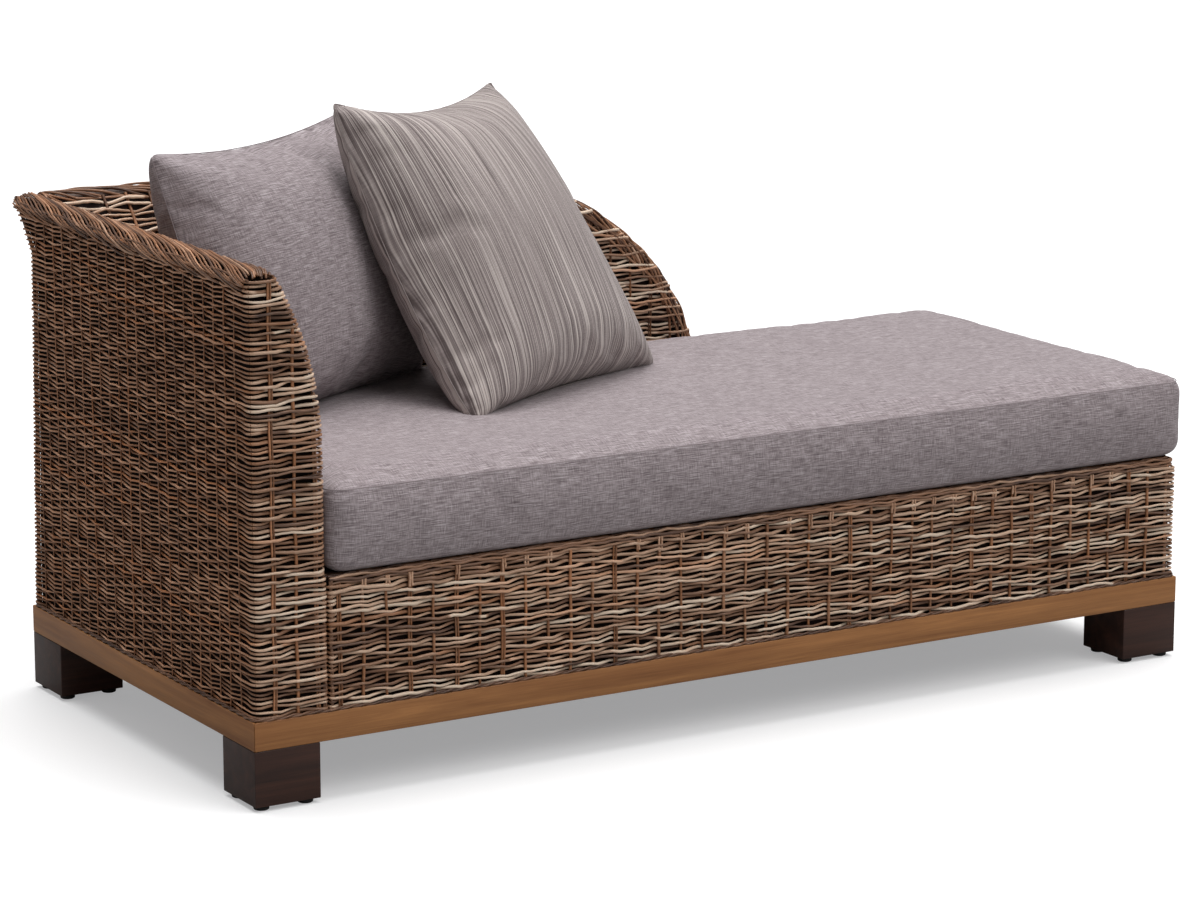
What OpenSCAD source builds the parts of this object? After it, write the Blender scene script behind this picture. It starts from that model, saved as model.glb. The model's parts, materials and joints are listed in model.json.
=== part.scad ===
// One-arm woven rattan lounger on a teak plinth, with a seat cushion and two pillows.
// X runs from the head end, with the arm, to the foot end. Y runs from the open front to the back.
// The origin is the bottom centre of the whole piece, on the floor.

/* [Plinth and legs] */
// Length of the plinth from the head end to the foot end
plinth_l = 1800; // [1600:10:2100]
// Width of the plinth from front to back
plinth_w = 850; // [780:10:950]
// Height of the plinth rails
plinth_h = 46; // [36:1:60]
// Thickness of the plinth rails
plinth_t = 30; // [24:1:36]
// Side of a square leg
leg_side = 114; // [95:1:130]
// Height of a leg without its glides
leg_h = 90; // [80:1:140]
// Diameter of a glide
glide_d = 25; // [18:1:30]
// Height of a glide
glide_h = 8; // [5:1:12]
// Distance from a leg's face to the middle of a glide
glide_inset = 19; // [16:1:24]
// Side of the blocks inside the plinth's corners
block_side = 100; // [90:1:120]
// Height of the blocks inside the plinth's corners
block_h = 36; // [28:1:36]
// Width of the cross rails inside the plinth
cross_w = 44; // [30:1:60]
// Number of cross rails inside the plinth
cross_count = 3; // [2:1:4]
// Diameter of a leg bolt's shank
bolt_d = 10; // [8:1:12]
// Length of a leg bolt's shank
bolt_l = 96; // [80:1:100]
// Distance of a leg bolt from the plinth rails' inner faces
bolt_inset = 33; // [28:1:34]
// Diameter of a leg bolt's head
bolt_head_d = 19; // [16:1:22]
// Height of a leg bolt's head
bolt_head_h = 6; // [4:1:8]

/* [Deck] */
// Height of the deck above the plinth
deck_h = 213; // [170:1:250]
// Thickness of the woven skins
skin_t = 12; // [9:1:14]
// Distance that the weave stands back from the plinth's faces
weave_inset = 3; // [0:1:8]
// Thickness of the rails under the deck, across their length
rail_t = 37; // [32:1:44]
// Height of the rails under the deck
rail_h = 45; // [35:1:55]
// Side of the square posts under the deck
post_side = 30; // [24:1:32]
// Number of posts under the front rail
post_count = 4; // [3:1:5]
// Width of the woven border round the deck's top
border_w = 25; // [22:1:28]
// Width of a seat slat
slat_w = 68; // [50:1:80]
// Number of seat slats
slat_count = 16; // [12:1:18]

/* [Weave] */
// Height from one groove between rows of weave to the next
course_h = 60; // [48:1:80]
// Height of a groove between rows of weave
course_w = 6; // [4:1:8]
// Depth of a groove between rows of weave
course_d = 3; // [2:0.5:4]

/* [Arm] */
// Height of the arm and of the back above the deck
wall_h = 489; // [440:1:540]
// Thickness of the arm at seat level
arm_base_t = 129; // [115:1:140]
// Thickness of the arm at its top
arm_top_t = 57; // [52:1:64]
// Height above the deck at which the arm's inner face begins to lean
arm_curve_h = 223; // [180:1:250]
// Height over which the arm's inner face bends from upright to its full lean
arm_bend_h = 200; // [160:5:230]
// Thickness of a shaped rib in the arm or the back
rib_t = 18; // [15:1:24]
// Height of the arm's top rail
arm_rail_h = 30; // [20:1:40]
// Height above the deck of the short rails between the arm's ribs
arm_mid_h = 190; // [150:1:230]
// Thickness of the short rails between the arm's ribs
arm_mid_t = 22; // [18:1:26]
// Height of the short rails between the arm's ribs
arm_mid_rail_h = 40; // [30:1:50]

/* [Back] */
// Thickness of the back wall, measured level
back_t = 52; // [48:1:60]
// Distance that the back's rear face leans in from the plinth to the crease
back_tuck = 26; // [16:1:34]
// Rearward flare of the back's top
back_flare = 76; // [50:1:90]
// Height of the flared part of the back
flare_h = 91; // [75:1:110]
// Length of the back's level top, from the plinth's head end
back_level_l = 720; // [640:10:760]
// Length of the rounded part of the back's top
back_round_l = 576; // [520:1:600]
// Height above the deck of the upright part of the back's end
back_end_h = 43; // [30:1:60]
// Width of the bent hoop under the back's rim
hoop_w = 25; // [20:1:30]

/* [Seat cushion] */
// Distance that the cushion hangs over the foot end
seat_over = 10; // [0:1:15]
// Thickness of the seat cushion without its crown
seat_h = 144; // [110:1:180]
// Rise of the cushion's top towards its middle
seat_crown = 6; // [2:1:12]
// Distance that the cushion's front stands proud of the plinth
seat_proud = 2; // [0:1:6]
// Radius of the cushion's corners seen from above
seat_corner_r = 26; // [15:1:40]
// Radius of the cushion's long edges
seat_edge_r = 20; // [12:1:30]
// Draw of the cushion's sides between their corners
seat_draw = 4; // [1:1:8]
// Thickness of the padded cover round the foam core
cover_t = 8; // [5:1:10]
// Gap between the cushion and the arm
seat_gap = 4; // [2:1:8]

/* [Plain pillow] */
// Width of the plain pillow
plain_w = 600; // [540:5:620]
// Height of the plain pillow
plain_h = 475; // [440:5:500]
// Thickness of the plain pillow
plain_t = 205; // [150:5:210]
// Turn of the plain pillow about the upright, in degrees
plain_turn = 31; // [28:1:33]
// Lean of the plain pillow from the upright, in degrees
plain_lean = 18; // [15:1:21]
// Distance of the plain pillow's foot from the arm, at its middle
plain_x = 291; // [286:1:300]
// Distance of the plain pillow's foot from the back, at its middle
plain_y = 211; // [200:1:214]

/* [Striped pillow] */
// Width of the striped pillow
striped_w = 550; // [500:5:580]
// Height of the striped pillow
striped_h = 580; // [520:5:590]
// Thickness of the striped pillow
striped_t = 200; // [140:5:205]
// Turn of the striped pillow about the upright, in degrees
striped_turn = 26; // [24:1:28]
// Lean of the striped pillow from the upright, in degrees
striped_lean = 32; // [30:1:34]
// Twist of the striped pillow from its middle to either side, in degrees
striped_twist = 3; // [0:1:5]
// Distance of the striped pillow's foot from the arm, at its middle
striped_x = 670; // [668:1:690]
// Distance of the striped pillow's foot from the back, at its middle
striped_y = 336; // [335:1:370]

/* [Hidden] */

// Fit of a bolt's shank in its hole, on the radius and at its end
bolt_fit = 0.2;
// Length by which a cut runs past the face it opens
overshoot = 1;
// Sides that a round piece is drawn with
round_sides = 48;
// Bays that the back's shaped ribs and the hoop's leg divide its length into
back_bays = 4;
// Gap that keeps soft pieces clear of what they lie on
soft_gap = 0.3;
// Gap between the cushion and the back wall
rear_gap = 1;
// Straight pieces that each curved stretch is made of
arc_steps = 18;

// Heights above the floor
plinth_z = glide_h + leg_h;
plinth_top = plinth_z + plinth_h;
deck_top = plinth_top + deck_h;
rail_top = deck_top - skin_t;
rail_z = rail_top - rail_h;
wall_top = deck_top + wall_h;
crease_z = wall_top - flare_h;
seat_z = deck_top + soft_gap;
seat_top = seat_z + seat_h;

// Faces of the woven body, measured from the plinth's head end and front
arm_out = weave_inset;
arm_in = arm_out + arm_base_t;
foot_out = plinth_l - weave_inset;
front_out = weave_inset;
rear_out = plinth_w - weave_inset;
rear_crease = rear_out - back_tuck;
rear_top = rear_crease + back_flare;
back_in = rear_crease - back_t;
back_end = back_level_l + back_round_l;
back_end_z = deck_top + back_end_h;

// Faces of the frame inside the skins
frame_head = arm_out + skin_t;
frame_front = front_out + skin_t;
frame_back = back_in + skin_t;
frame_foot = foot_out - skin_t;
head_rail_x = arm_in - skin_t;
head_rail_end = head_rail_x + rail_t;
front_rail_end = frame_front + rail_t;
back_rail_y = frame_back - rail_t;
foot_rail_x = frame_foot - rail_t;
centre_y = (front_rail_end + back_rail_y - post_side) / 2;
hoop_leg_x = back_end - skin_t - hoop_w;

// The arm's inner face: upright, then a bend, then a straight lean to the top
arm_draw = arm_base_t - arm_top_t;
arm_curve_z = deck_top + arm_curve_h;
arm_slope = arm_draw / (wall_h - arm_curve_h - arm_bend_h / 2);

// Heights of the grooves between rows of weave; the deck's border lies midway between two of them
course_n = round((rail_top - plinth_top) / course_h);
course_step = (rail_top - plinth_top) / (course_n + 1 / 2);
course_z = [for (z = [plinth_top + course_step:course_step:wall_top - skin_t - course_w]) z];

// The seat cushion's place and half sizes
seat_x = arm_in + seat_gap;
seat_l = plinth_l + seat_over - seat_x;
seat_w = back_in - rear_gap + seat_proud;
seat_mid = [seat_x + seat_l / 2, seat_w / 2 - seat_proud];
seat_half = [seat_l / 2, seat_w / 2];

// The whole piece, from which the origin is set
overall_l = max(plinth_l, seat_x + seat_l);
overall_mid_y = (rear_top - seat_proud) / 2;

teak = "peru";
dark_wood = [0.2, 0.13, 0.1];
timber = "burlywood";
cane = [0.42, 0.31, 0.22];
rim_cane = [0.5, 0.38, 0.27];
cloth = [0.55, 0.52, 0.53];
stripe_cloth = [0.6, 0.58, 0.58];

// Puts a piece, modelled from the plinth's head end and front, in the frame of the whole
module placed() {
    translate([-overall_l / 2, -overall_mid_y, 0]) children();
}

// A bar between two corners
module bar(low, high) {
    placed() translate(low) cube(high - low);
}

// A shape drawn across the lounger, as (y, z), carried along its length
module along_x(x0, x1) {
    translate([x0, 0, 0]) rotate([90, 0, 90]) linear_extrude(x1 - x0) children();
}

// A shape drawn along the lounger, as (x, z), carried across its width
module along_y(y0, y1) {
    translate([0, y1, 0]) rotate([90, 0, 0]) linear_extrude(y1 - y0) children();
}

// The four corners of the plinth: 0 is head front, then round to head back
function corner_side(i) = [i == 1 || i == 2 ? 1 : 0, i >= 2 ? 1 : 0];

module at_corner(i) {
    side = corner_side(i);
    placed() translate([side.x * plinth_l, side.y * plinth_w, 0])
        mirror([side.x, 0, 0]) mirror([0, side.y, 0]) children();
}

// Level distance from the front at which the back's rear face stands, at height z
function rear_y(z) = z <= crease_z
    ? rear_out - back_tuck * (z - plinth_top) / (crease_z - plinth_top)
    : rear_crease + back_flare * (z - crease_z) / flare_h;

// The same for the back's front face
function seat_side_y(z) = back_in + max(0, back_flare * (z - crease_z) / flare_h);

// Lines up the back's rear face and its front face, each moved inwards by an inset
function rear_line(z0, inset) = [
    for (z = [z0, crease_z, wall_top]) [rear_y(z) - inset, z]
];
function seat_side_line(z0, inset) = [
    for (z = [wall_top, crease_z, z0]) [seat_side_y(z) + inset, z]
];

// Line along the back's level top and down its rounded end, moved inwards by an inset
function back_outline(x0, z0, inset) = concat(
    [[x0, wall_top - inset]],
    [for (i = [0:arc_steps])
        let (a = 90 * i / arc_steps)
        [back_level_l + (back_round_l - inset) * sin(a),
         back_end_z + (wall_top - back_end_z - inset) * cos(a)]],
    [[back_end - inset, z0]]
);
function reversed(list) = [for (i = [len(list) - 1:-1:0]) list[i]];

// Level place of the arm's inner face at height z
function arm_face(z) =
    let (rise = max(0, z - arm_curve_z))
    arm_in - arm_slope * (rise < arm_bend_h ? rise * rise / (2 * arm_bend_h) : rise - arm_bend_h / 2);

// Line up the arm's inner face from z0 to z1, moved inwards by an inset
function arm_line(z0, z1, inset) = concat(
    [[arm_in - inset, z0]],
    [for (i = [0:arc_steps / 2])
        let (z = arm_curve_z + arm_bend_h * i * 2 / arc_steps)
        if (z < z1) [arm_face(z) - inset, z]],
    [[arm_face(z1) - inset, z1]]
);

module plinth_rail(across, far) {
    length = across ? plinth_w : plinth_l;
    start = far ? (across ? plinth_l : plinth_w) : 0;
    inner = far ? start - plinth_t : plinth_t;
    outline = [[0, start], [length, start], [length - plinth_t, inner], [plinth_t, inner]];
    color(teak) placed() translate([0, 0, plinth_z]) linear_extrude(plinth_h)
        polygon(across ? [for (p = outline) [p.y, p.x]] : outline);
}

// Distance of a leg bolt from the plinth's faces
bolt_place = plinth_t + bolt_inset;

module leg(i) {
    color(dark_wood) at_corner(i) difference() {
        translate([0, 0, glide_h]) cube([leg_side, leg_side, leg_h]);
        translate([bolt_place, bolt_place, plinth_z + block_h - bolt_l - bolt_fit])
            cylinder(h = bolt_l, r = bolt_d / 2 + bolt_fit, $fn = round_sides);
    }
}

module glides(i) {
    far = leg_side - glide_inset;
    color("dimgray") at_corner(i) for (x = [glide_inset, far], y = [glide_inset, far])
        translate([x, y, 0]) cylinder(h = glide_h, d = glide_d, $fn = round_sides);
}

module corner_block(i) {
    color(timber) at_corner(i) translate([0, 0, plinth_z]) difference() {
        translate([plinth_t, plinth_t, 0]) linear_extrude(block_h)
            polygon([[0, 0], [block_side, 0], [0, block_side]]);
        translate([bolt_place, bolt_place, -overshoot])
            cylinder(h = block_h + overshoot * 2, r = bolt_d / 2 + bolt_fit, $fn = round_sides);
    }
}

module leg_bolts() {
    color("silver") for (i = [0:3]) at_corner(i)
        translate([bolt_place, bolt_place, plinth_z + block_h]) {
            cylinder(h = bolt_head_h, d = bolt_head_d, $fn = 6);
            translate([0, 0, -bolt_l]) cylinder(h = bolt_l, d = bolt_d, $fn = round_sides);
        }
}

function cross_x(i) = plinth_l * i / (cross_count + 1);

module cross_rails() {
    color(timber) for (i = [1:cross_count])
        bar([cross_x(i) - cross_w / 2, plinth_t, plinth_z],
            [cross_x(i) + cross_w / 2, plinth_w - plinth_t, plinth_top]);
}

module deck_head_rail() {
    color(timber) bar([head_rail_x, frame_front, rail_z], [head_rail_end, frame_back, rail_top]);
}

module deck_front_rail() {
    color(timber) bar([head_rail_end, frame_front, rail_z], [frame_foot, front_rail_end, rail_top]);
}

module deck_back_rail() {
    color(timber) bar([head_rail_end, back_rail_y, rail_z], [frame_foot, frame_back, rail_top]);
}

module deck_foot_rail() {
    color(timber) bar([foot_rail_x, front_rail_end, rail_z], [frame_foot, back_rail_y, rail_top]);
}

module deck_centre_rail() {
    color(timber) bar([head_rail_end, centre_y, rail_z], [foot_rail_x, centre_y + post_side, rail_top]);
}

module front_posts() {
    span = frame_foot - post_side - head_rail_end;
    color(timber) for (i = [0:post_count - 1]) {
        x = head_rail_end + span * i / (post_count - 1);
        bar([x, frame_front, plinth_top], [x + post_side, frame_front + post_side, rail_z]);
    }
}

module centre_posts() {
    color(timber) for (i = [1:cross_count]) {
        x = cross_x(i) - post_side / 2;
        bar([x, centre_y, plinth_top], [x + post_side, centre_y + post_side, rail_z]);
    }
}

// Posts between the rear panel and the back rail, beyond the end of the back wall
module rear_posts() {
    span = frame_foot - post_side - back_end;
    color(timber) placed() for (i = [1:2]) {
        x = back_end + span * i / 2;
        along_x(x, x + post_side) polygon([
            [frame_back, plinth_top], [rear_y(plinth_top) - skin_t, plinth_top],
            [rear_y(rail_top) - skin_t, rail_top], [frame_back, rail_top]
        ]);
    }
}

module seat_slats() {
    first = arm_in + seat_gap;
    span = foot_out - border_w - slat_w - first;
    color(timber) for (i = [0:slat_count - 1]) {
        x = first + span * i / (slat_count - 1);
        bar([x, front_out + border_w, rail_top], [x + slat_w, back_in, deck_top]);
    }
}

arm_rail_z = wall_top - skin_t - arm_rail_h;
arm_rib_y = [frame_front, (frame_front + back_in - rib_t) / 2, back_in - rib_t];

module arm_rib(i) {
    color(timber) placed() along_y(arm_rib_y[i], arm_rib_y[i] + rib_t) polygon(concat(
        [[frame_head, plinth_top]],
        arm_line(plinth_top, arm_rail_z, skin_t),
        [[frame_head, arm_rail_z]]
    ));
}

module arm_top_rail() {
    color(timber) bar([frame_head, frame_front, arm_rail_z],
        [arm_out + arm_top_t - skin_t, back_in, wall_top - skin_t]);
}

module arm_mid_rails() {
    z = deck_top + arm_mid_h;
    color(timber) for (i = [0, 1])
        bar([frame_head, arm_rib_y[i] + rib_t, z],
            [frame_head + arm_mid_t, arm_rib_y[i + 1], z + arm_mid_rail_h]);
}

// The space between the back's two skins, from the plinth to the top
module back_core_section() {
    polygon(concat(rear_line(plinth_top, skin_t), seat_side_line(plinth_top, skin_t)));
}

module back_rib(i) {
    x = frame_head + (hoop_leg_x - frame_head) * i / back_bays;
    color(timber) placed() intersection() {
        along_x(x, x + rib_t) back_core_section();
        along_y(back_in, rear_top) polygon(concat(
            [[frame_head, plinth_top]],
            back_outline(frame_head, plinth_top, skin_t + hoop_w)
        ));
    }
}

module back_hoop() {
    color(timber) placed() intersection() {
        along_x(frame_head, back_end) back_core_section();
        along_y(back_in, rear_top) polygon(concat(
            back_outline(frame_head, plinth_top, skin_t),
            reversed(back_outline(frame_head, plinth_top, skin_t + hoop_w))
        ));
    }
}

// Cuts for the grooves between rows of weave, in the front, in the rear face and in the face of an
// end, whose inside lies towards +X or -X
module front_courses() {
    for (z = course_z) along_x(0, plinth_l) polygon([
        [front_out - overshoot, z - course_w / 2], [front_out + course_d, z],
        [front_out - overshoot, z + course_w / 2]
    ]);
}

module rear_courses() {
    for (z = course_z) along_x(0, plinth_l) polygon([
        [rear_y(z - course_w / 2) + overshoot, z - course_w / 2], [rear_y(z) - course_d, z],
        [rear_y(z + course_w / 2) + overshoot, z + course_w / 2]
    ]);
}

module end_courses(x, inside) {
    for (z = course_z) along_y(0, rear_top) polygon([
        [x - inside * overshoot, z - course_w / 2], [x + inside * course_d, z],
        [x - inside * overshoot, z + course_w / 2]
    ]);
}

module weave_front() {
    color(cane) difference() {
        bar([arm_in, front_out, plinth_top], [frame_foot, frame_front, rail_top]);
        placed() front_courses();
    }
}

module weave_foot() {
    color(cane) placed() difference() {
        along_x(frame_foot, foot_out) polygon([
            [front_out, plinth_top], [rear_y(plinth_top), plinth_top],
            [rear_y(rail_top), rail_top], [front_out, rail_top]
        ]);
        front_courses();
        end_courses(foot_out, -1);
    }
}

module weave_rear() {
    color(cane) placed() difference() {
        along_x(back_end, frame_foot) polygon([
            [rear_y(plinth_top) - skin_t, plinth_top], [rear_y(plinth_top), plinth_top],
            [rear_y(rail_top), rail_top], [rear_y(rail_top) - skin_t, rail_top]
        ]);
        rear_courses();
    }
}

module weave_arm_outside() {
    rim_z = wall_top - skin_t;
    color(cane) placed() difference() {
        along_x(arm_out, frame_head) polygon([
            [frame_front, plinth_top], [rear_y(plinth_top), plinth_top],
            [rear_crease, crease_z], [rear_y(rim_z), rim_z], [frame_front, rim_z]
        ]);
        end_courses(arm_out, 1);
    }
}

module weave_arm_inside() {
    rim_z = wall_top - skin_t;
    color(cane) placed() along_y(frame_front, back_in) polygon(concat(
        arm_line(rail_top, rim_z, 0), reversed(arm_line(rail_top, rim_z, skin_t))
    ));
}

module weave_arm_end() {
    rim_z = wall_top - skin_t;
    color(cane) placed() difference() {
        along_y(front_out, frame_front) polygon(concat(
            [[arm_out, plinth_top]], arm_line(plinth_top, rim_z, 0), [[arm_out, rim_z]]
        ));
        front_courses();
        end_courses(arm_out, 1);
    }
}

module weave_back_outside() {
    color(cane) placed() difference() {
        intersection() {
            along_x(frame_head, back_end)
                polygon(concat(rear_line(plinth_top, 0), reversed(rear_line(plinth_top, skin_t))));
            along_y(back_in, rear_top) polygon(concat(
                [[frame_head, plinth_top]],
                back_outline(frame_head, rail_top, skin_t),
                [[back_end, rail_top], [back_end, plinth_top]]
            ));
        }
        rear_courses();
    }
}

module weave_back_inside() {
    color(cane) placed() intersection() {
        along_x(frame_head, back_end) polygon(concat(
            seat_side_line(rail_top, 0), reversed(seat_side_line(rail_top, skin_t))
        ));
        along_y(back_in, rear_top) polygon(concat(
            [[frame_head, rail_top]], back_outline(frame_head, rail_top, skin_t)
        ));
    }
}

module arm_rim() {
    rim_z = wall_top - skin_t;
    color(rim_cane) placed() along_x(arm_out, arm_out + arm_top_t) polygon([
        [front_out, rim_z], [rear_y(rim_z), rim_z], [rear_top, wall_top], [front_out, wall_top]
    ]);
}

module back_rim() {
    start = arm_out + arm_top_t;
    color(rim_cane) placed() intersection() {
        along_x(start, back_end)
            polygon(concat(rear_line(rail_top, 0), seat_side_line(rail_top, 0)));
        along_y(back_in, rear_top) polygon(concat(
            back_outline(start, rail_top, 0), reversed(back_outline(start, rail_top, skin_t))
        ));
    }
}

module border_front() {
    color(rim_cane) bar([arm_in, front_out, rail_top], [foot_out, front_out + border_w, deck_top]);
}

// The strip between y0 and the rear face, at the height of the deck's border
module rear_strip(y0) {
    polygon([
        [y0, rail_top], [rear_y(rail_top), rail_top], [rear_y(deck_top), deck_top], [y0, deck_top]
    ]);
}

module border_foot() {
    color(rim_cane) placed() along_x(foot_out - border_w, foot_out) rear_strip(front_out + border_w);
}

module border_rear() {
    color(rim_cane) placed() along_x(back_end, foot_out - border_w) rear_strip(back_in);
}

// Height of the seat cushion's crown at a place on its top
function seat_surface(x, y) =
    let (u = (x - seat_mid.x) / (seat_half.x - seat_edge_r),
         v = (y - seat_mid.y) / (seat_half.y - seat_edge_r))
    seat_top + seat_crown * max(0, 1 - u * u) * max(0, 1 - v * v);

// One level ring round the cushion: straight sides of side_n points and corners of corner_n,
// moved inwards by an inset and drawn in between the corners
function seat_ring(half, inset, radius, draw, side_n, corner_n) = [
    for (c = [0:3])
        let (sx = c == 0 || c == 3 ? 1 : -1,
             sy = c < 2 ? 1 : -1,
             r = max(radius - inset, 1),
             core = [half.x - inset - r, half.y - inset - r])
        each concat(
            [for (i = [0:corner_n])
                let (a = 90 * c + 90 * i / corner_n)
                [sx * core.x + r * cos(a), sy * core.y + r * sin(a)]],
            [for (i = [1:side_n])
                let (s = 1 - 2 * i / (side_n + 1),
                     pull = draw * (1 - s * s),
                     along_width = c == 0 || c == 2)
                along_width
                    ? [sx * core.x * s, sy * (half.y - inset - pull)]
                    : [sx * (half.x - inset - pull), sy * core.y * s]]
        )
];

function lifted(ring, z) = [for (p = ring) [p.x, p.y, z]];

// A closed solid from level rings, with a middle point at the bottom and at the top
module ring_solid(rings, low_point, high_point) {
    n = len(rings[0]);
    m = len(rings);
    points = concat([for (ring = rings) each ring], [low_point, high_point]);
    polyhedron(points, concat(
        [for (i = [0:n - 1]) [m * n, i, (i + 1) % n]],
        [for (k = [0:m - 2], i = [0:n - 1])
            let (j = (i + 1) % n, a = k * n + i, b = k * n + j)
            each [[a, a + n, b], [b, a + n, b + n]]],
        [for (i = [0:n - 1]) [m * n + 1, (m - 1) * n + (i + 1) % n, (m - 1) * n + i]]
    ), convexity = 4);
}

// The cushion's form: flat below, rounded edges, drawn-in sides and a crowned top
module seat_form() {
    side_n = 5;
    corner_n = 3;
    edge = [for (a = [30, 60, 90]) [seat_edge_r * (1 - sin(a)), seat_edge_r * (1 - cos(a))]];
    base = seat_ring(seat_half, seat_edge_r, seat_corner_r, 0, side_n, corner_n);
    low = concat(
        [for (k = [0.5, 1]) lifted(base * k, seat_z)],
        [for (e = edge) lifted(seat_ring(seat_half, e.x, seat_corner_r,
            seat_draw * e.y / seat_edge_r, side_n, corner_n), seat_z + e.y)]
    );
    middle = [lifted(seat_ring(seat_half, 0, seat_corner_r, seat_draw * 2, side_n, corner_n),
        (seat_z + seat_top) / 2)];
    high = [for (e = reversed(edge)) lifted(seat_ring(seat_half, e.x, seat_corner_r,
        seat_draw * e.y / seat_edge_r, side_n, corner_n), seat_top - e.y)];
    crown = [for (k = [1, 0.9, 0.72, 0.5, 0.25])
        [for (p = base) [p.x * k, p.y * k,
            seat_surface(seat_mid.x + p.x * k, seat_mid.y + p.y * k)]]];
    placed() translate([seat_mid.x, seat_mid.y, 0]) ring_solid(
        concat(low, middle, high, crown),
        [0, 0, seat_z],
        [0, 0, seat_surface(seat_mid.x, seat_mid.y)]
    );
}

// The foam core, or the space for it when grow is the fit round it
module foam_block(grow) {
    half = [for (h = seat_half) h - cover_t - seat_draw * 2 + grow];
    ring = seat_ring(half, 0, seat_corner_r, 0, side_n = 1, corner_n = 2);
    low = seat_z + cover_t - grow;
    high = seat_top - cover_t + grow;
    placed() translate([seat_mid.x, seat_mid.y, 0])
        ring_solid([lifted(ring, low), lifted(ring, high)], [0, 0, low], [0, 0, high]);
}

module seat_cover() {
    color(cloth) difference() {
        seat_form();
        foam_block(soft_gap);
    }
}

module seat_foam() {
    color("khaki") foam_block(0);
}

// Cells along each side of a pillow's two faces
pillow_n = 18;
// Height by which a pressed pillow follows the back's crease later than the back itself
press_lag = 36;
// Power that sets how full a pillow stays towards its seams
pillow_fullness = 0.42;
// Draw of the pillows' seams, as a share of half the pillow, and of their top seams
seam_draw = 0.04;
plain_top_draw = 0.1;
striped_top_draw = 0.14;

// Place across a pillow, from -1 to 1, crowded towards the seams
function spread(i) = sin(90 * (2 * i / pillow_n - 1));

// A point of a pillow, which is drawn in between its corners, full in its middle, and pressed
// flat where it meets the cushion, the arm or the back.
// size is [width, height, thickness], pull is the draw of [the other seams, the top seam], and
// pose is [foot x, foot y, turn, lean, twist]
function pillow_point(i, j, face, size, pull, pose) =
    let (u = spread(i),
         v = spread(j),
         turn = pose[2],
         lean = pose[3] + pose[4] * u,
         side_pull = 1 - pull.x * (1 - v * v) * abs(u * u * u),
         end_pull = 1 - (v > 0 ? pull.y : pull.x) * (1 - u * u) * abs(v * v * v),
         a = size.x / 2 * u * side_pull,
         b = size.y / 2 * (v * end_pull + 1),
         t = face * size.z / 2 * pow(max(0, (1 - u * u) * (1 - v * v)), pillow_fullness),
         x = pose[0] + a * cos(turn) - b * sin(turn) * sin(lean) + t * sin(turn) * cos(lean),
         y = pose[1] + a * sin(turn) + b * cos(turn) * sin(lean) - t * cos(turn) * cos(lean),
         z = seat_top + b * cos(lean) + t * sin(lean),
         x_clear = max(x, arm_face(z) + soft_gap),
         y_clear = z > wall_top ? y : min(y, seat_side_y(z - press_lag) - soft_gap))
    [x_clear, y_clear, max(z, seat_surface(x_clear, y_clear) + soft_gap * 2)];

module pillow(size, pull, pose) {
    n = pillow_n;
    inner = (n + 1) * (n + 1);
    points = concat(
        [for (i = [0:n], j = [0:n]) pillow_point(i, j, 1, size, pull, pose)],
        [for (i = [1:n - 1], j = [1:n - 1]) pillow_point(i, j, -1, size, pull, pose)]
    );
    function on_front(i, j) = i * (n + 1) + j;
    function on_back(i, j) = i == 0 || j == 0 || i == n || j == n
        ? on_front(i, j) : inner + (i - 1) * (n - 1) + j - 1;
    function cell(p, q, r, s, slash) = slash ? [[p, q, r], [p, r, s]] : [[p, q, s], [q, r, s]];
    faces = [for (i = [0:n - 1], j = [0:n - 1])
        let (slash = (i < n / 2) == (j < n / 2))
        each concat(
            cell(on_front(i, j), on_front(i, j + 1), on_front(i + 1, j + 1),
                on_front(i + 1, j), slash),
            [for (f = cell(on_back(i, j), on_back(i, j + 1), on_back(i + 1, j + 1),
                on_back(i + 1, j), slash)) [f[2], f[1], f[0]]]
        )];
    placed() polyhedron(points, faces, convexity = 4);
}

module plain_pillow() {
    color(cloth) pillow(
        [plain_w, plain_h, plain_t], [seam_draw, plain_top_draw],
        [arm_in + plain_x, back_in - plain_y, plain_turn, plain_lean, 0]
    );
}

module striped_pillow() {
    color(stripe_cloth) pillow(
        [striped_w, striped_h, striped_t], [seam_draw, striped_top_draw],
        [arm_in + striped_x, back_in - striped_y, striped_turn, striped_lean, striped_twist]
    );
}

plinth_rail(false, false);  // plinth_front_rail
plinth_rail(false, true);  // plinth_back_rail
plinth_rail(true, false);  // plinth_head_rail
plinth_rail(true, true);  // plinth_foot_rail
leg(0);  // leg_head_front
leg(1);  // leg_foot_front
leg(2);  // leg_foot_back
leg(3);  // leg_head_back
glides(0);  // glides_head_front
glides(1);  // glides_foot_front
glides(2);  // glides_foot_back
glides(3);  // glides_head_back
corner_block(0);  // block_head_front
corner_block(1);  // block_foot_front
corner_block(2);  // block_foot_back
corner_block(3);  // block_head_back
leg_bolts();
cross_rails();
deck_head_rail();
deck_foot_rail();
deck_front_rail();
deck_back_rail();
deck_centre_rail();
front_posts();
centre_posts();
rear_posts();
seat_slats();
arm_rib(0);  // arm_rib_front
arm_rib(1);  // arm_rib_middle
arm_rib(2);  // arm_rib_back
arm_top_rail();
arm_mid_rails();
back_rib(0);  // back_rib_1
back_rib(1);  // back_rib_2
back_rib(2);  // back_rib_3
back_rib(3);  // back_rib_4
back_hoop();
weave_front();
weave_foot();
weave_rear();
weave_arm_outside();
weave_arm_inside();
weave_arm_end();
weave_back_outside();
weave_back_inside();
arm_rim();
back_rim();
border_front();
border_foot();
border_rear();
seat_cover();
seat_foam();
plain_pillow();
striped_pillow();
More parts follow.
